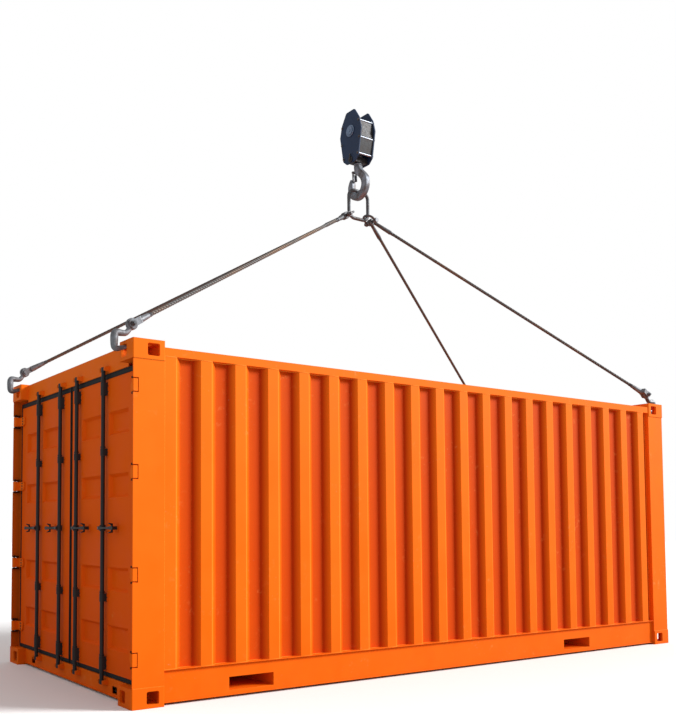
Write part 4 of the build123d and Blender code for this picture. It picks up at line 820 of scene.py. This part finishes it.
def buildWelds():
    # the right side's runs; the other side has the same, mirrored
    length, width, height = container["casting"]
    outer = -(container["side"] - container["postFace"])
    door, closed = container["door"], container["closed"]
    runs = []
    for level in (height, container["topCasting"]):
        for near, far in ((door + 0.008, door + length), (closed - length, closed - 0.008)):
            runs.append((Vector((near, outer, level)), Vector((far, outer, level)), weld["radius"]))
        end = closed - container["postFace"]
        runs.append((Vector((end, -1.211, level)), Vector((end, -1.109, level)), weld["radius"]))
    line = wallLine()
    for x, inset in (line[0], line[-1]):
        y = -(container["side"] - inset)
        runs.append((Vector((x, y, container["railTop"])), Vector((x, y, container["wallTop"])), weld["fine"]))
    for x in (door + length, closed - length):
        runs.append((Vector((x, -1.189, 0.024)), Vector((x, -1.189, 0.228)), weld["fine"]))
    parts = [(weldShape(*run), [here, Matrix.Diagonal((1, -1, 1, 1))]) for run in runs]
    for level in (container["railTop"] + 0.001, container["wallTop"] - 0.001):
        points = [(x, -(container["side"] - inset), level) for x, inset in line]
        seam = tubeShape(points, [weld["fine"]] * len(points), sides=6)
        parts.append((seam, [here, Matrix.Diagonal((1, -1, 1, 1))]))
    finishPiece("weldRuns", parts, weldPaintAndHighlight, "container", smooth=True, crease=80.0)


def buildSillLip():
    inner = container["side"] - container["casting"][1]
    lip = plateShape((0.012, 2 * inner - 0.004, 0.006), 0.0015, 2)
    finishPiece("sillLip", [(lip, [Matrix.Translation((container["door"] + container["face"] - 0.006, 0, 0.015))])],
                framePaint, "container")


buildWelds()
buildSillLip()

# inside: deck screws along each cross member and lashing rings at the foot of the walls
deckFixings = {"rows": 19, "first": -2.745, "last": 2.745, "across": (0.12, 0.36, 0.60, 0.84, 1.06), "radius": 0.006}
lashing = {"rings": (-2.3, -1.38, -0.46, 0.46, 1.38, 2.3), "side": 1.156, "level": 0.214, "radius": 0.026}


def buildInside():
    screw = discShape(deckFixings["radius"], 0.0012, 0.0003, 8)
    gap = (deckFixings["last"] - deckFixings["first"]) / (deckFixings["rows"] - 1)
    places = [Matrix.Translation((deckFixings["first"] + row * gap, hand * across, container["deck"]))
              for row in range(deckFixings["rows"]) for across in deckFixings["across"] for hand in (-1, 1)]
    finishPiece("deckScrews", [(screw, places)], brightSteel, "container")
    radius = lashing["radius"]
    points = [(radius * math.cos(a), 0, radius * math.sin(a)) for a in [2 * math.pi * i / 20 for i in range(20)]]
    ring = tubeShape(points, [0.0045] * 20, sides=8, closed=True)
    eyelet = plateShape((0.026, 0.010, 0.022), 0.003, 2)
    rings, eyelets = [], []
    for x in lashing["rings"]:
        for hand in (-1, 1):
            rings.append(Matrix.Translation((x, hand * lashing["side"], lashing["level"])))
            eyelets.append(Matrix.Translation((x, hand * lashing["side"], lashing["level"] + radius - 0.010)))
    finishPiece("lashingRings", [(ring, rings), (eyelet, eyelets)], fittingSteel, "container",
                smooth=True)


buildInside()
print("welds, lip and inside fittings made")

# hook block: bolts on the spacers' ends, a collar round each axle boss, the crosshead's ends and their keepers
block = {
    "face": 0.093, "axle": 5.046, "trunnion": 4.761, "hubRadius": 0.056,
    "spacers": ((0.1016, 4.795), (0.1276, 4.945), (0.1199, 5.115)),
}


def buildBlockFittings():
    bolt = nutShape(0.0115, 0.008, 0.003)
    collar = ringShape(0.0402, block["hubRadius"], 0.009, 0.003, 36)
    trunnion = discShape(0.030, 0.008, 0.0025, 28)
    keeper = plateShape((0.016, 0.062, 0.005), 0.0015, 2)
    cap = discShape(0.013, 0.004, 0.0015, 18)
    small = nutShape(0.006, 0.005, 0.001)
    bolts, collars, trunnions, keepers, smallBolts, caps = [], [], [], [], [], []
    for end in (-1, 1):
        way = (end, 0, 0)
        face = end * block["face"]
        bolts += [pointing((face, hand * y, z), way) for y, z in block["spacers"] for hand in (-1, 1)]
        collars.append(pointing((face, 0, block["axle"]), way))
        caps.append(pointing((end * 0.1073, 0, block["axle"]), way))
        trunnions.append(pointing((face, 0, block["trunnion"]), way))
        spot = pointing((face + end * 0.008, 0, block["trunnion"] + 0.026), way)
        keepers.append(spot)
        smallBolts += [spot @ Matrix.Translation((0, hand * 0.023, 0.005)) for hand in (-1, 1)]
    finishPiece("blockBolts", [(bolt, bolts), (small, smallBolts)], linkSteel, "hook_block")
    finishPiece("hubCollars", [(collar, collars), (cap, caps)], hubSteel, "hook_block", smooth=True)
    finishPiece("crossheadEnds", [(trunnion, trunnions), (keeper, keepers)], blockSteel, "hook_block",
                smooth=True)


def buildHookFittings():
    # the collar under the block and the rivets on the latch's pin
    collar = ringShape(0.0262, 0.041, 0.008, 0.0025, 36)
    washer = ringShape(0.0262, 0.034, 0.004, 0.001, 36)
    finishPiece("hookCollar", [(collar, [Matrix.Translation((0, 0, 4.7245))]),
                               (washer, [Matrix.Translation((0, 0, 4.7182))])],
                brightSteel, "container", smooth=True)
    rivet = discShape(0.0095, 0.004, 0.0018, 16)
    finishPiece("latchRivets", [(rivet, [pointing((end * 0.028, 0.052, 4.664), (end, 0, 0)) for end in (-1, 1)])],
                fittingSteel, "container")


buildBlockFittings()
buildHookFittings()
print("block fittings made")

# camera at the photograph's viewpoint
view = {
    "place": (-5.51563, -6.30355, 1.18293),     # metres, from the photograph's perspective
    "yaw": 1.007843, "pitch": 0.053745, "roll": -0.00142,
    "focal": 861.845, "centre": (225.86, 480.76), "frame": (676, 714),   # pixels
}


def buildCamera():
    wide, high = view["frame"]
    cameraData = bpy.data.cameras.new("camera")
    camera = bpy.data.objects.new("camera", cameraData)
    bpy.context.scene.collection.objects.link(camera)
    level = math.cos(view["pitch"])
    forward = Vector((level * math.cos(view["yaw"]), level * math.sin(view["yaw"]), math.sin(view["pitch"])))
    right = Vector((math.sin(view["yaw"]), -math.cos(view["yaw"]), 0))
    basis = Matrix((right, right.cross(forward), -forward)).transposed().to_4x4()
    camera.matrix_world = Matrix.Translation(view["place"]) @ basis @ Matrix.Rotation(view["roll"], 4, "Z")
    cameraData.sensor_fit = "VERTICAL"
    cameraData.sensor_height = 36.0
    cameraData.lens = view["focal"] / high * 36.0
    cameraData.shift_x = (wide / 2 - view["centre"][0]) / high
    cameraData.shift_y = (view["centre"][1] - high / 2) / high
    cameraData.clip_end = 200
    bpy.context.scene.camera = camera


# key is the sun's strength, sky the fill's; floor is how grey the floor is to the light that it sends back
studio = {"key": 4.6, "keyAngle": 18.0, "sky": 0.56, "keyFrom": (1.5, -1.0, 0.9), "floor": 0.42, "floorSeen": 0.97}


def buildFloor():
    bm = bmesh.new()
    bmesh.ops.create_grid(bm, x_segments=1, y_segments=1, size=60)
    mesh = bpy.data.meshes.new("studioFloor")
    bm.to_mesh(mesh)
    bm.free()
    floor = bpy.data.objects.new("studioFloor", mesh)
    bpy.context.scene.collection.objects.link(floor)
    material, tree, shader, vector = newMaterial("studioFloor")
    path = tree.nodes.new("ShaderNodeLightPath")
    grey, seen = studio["floor"], studio["floorSeen"]
    tone = mixColor(tree, path.outputs["Is Camera Ray"], (grey, grey, grey, 1), (seen, seen, seen, 1))
    tree.links.new(tone, shader.inputs["Base Color"])
    shader.inputs["Roughness"].default_value = 0.9
    mesh.materials.append(material)


def buildLight():
    world = bpy.data.worlds.new("studio")
    world.use_nodes = True
    bpy.context.scene.world = world
    tree = world.node_tree
    tree.nodes.clear()
    output = tree.nodes.new("ShaderNodeOutputWorld")
    backgrounds = []
    for strength in (studio["sky"], 1.0):
        node = tree.nodes.new("ShaderNodeBackground")
        node.inputs["Color"].default_value = (1, 1, 1, 1)
        node.inputs["Strength"].default_value = strength
        backgrounds.append(node)
    path = tree.nodes.new("ShaderNodeLightPath")
    seen = mathNode(tree, "MAXIMUM", path.outputs["Is Camera Ray"], path.outputs["Is Transmission Ray"])
    mix = tree.nodes.new("ShaderNodeMixShader")
    tree.links.new(seen, mix.inputs[0])
    tree.links.new(backgrounds[0].outputs[0], mix.inputs[1])
    tree.links.new(backgrounds[1].outputs[0], mix.inputs[2])
    tree.links.new(mix.outputs[0], output.inputs["Surface"])
    sun = bpy.data.lights.new("key", "SUN")
    sun.energy = studio["key"]
    sun.angle = math.radians(studio["keyAngle"])
    key = bpy.data.objects.new("key", sun)
    key.matrix_world = Vector(studio["keyFrom"]).to_track_quat("Z", "Y").to_matrix().to_4x4()
    bpy.context.scene.collection.objects.link(key)


buildCamera()
buildFloor()
buildLight()
bpy.context.scene.view_settings.view_transform = "Standard"
print("camera and light set")
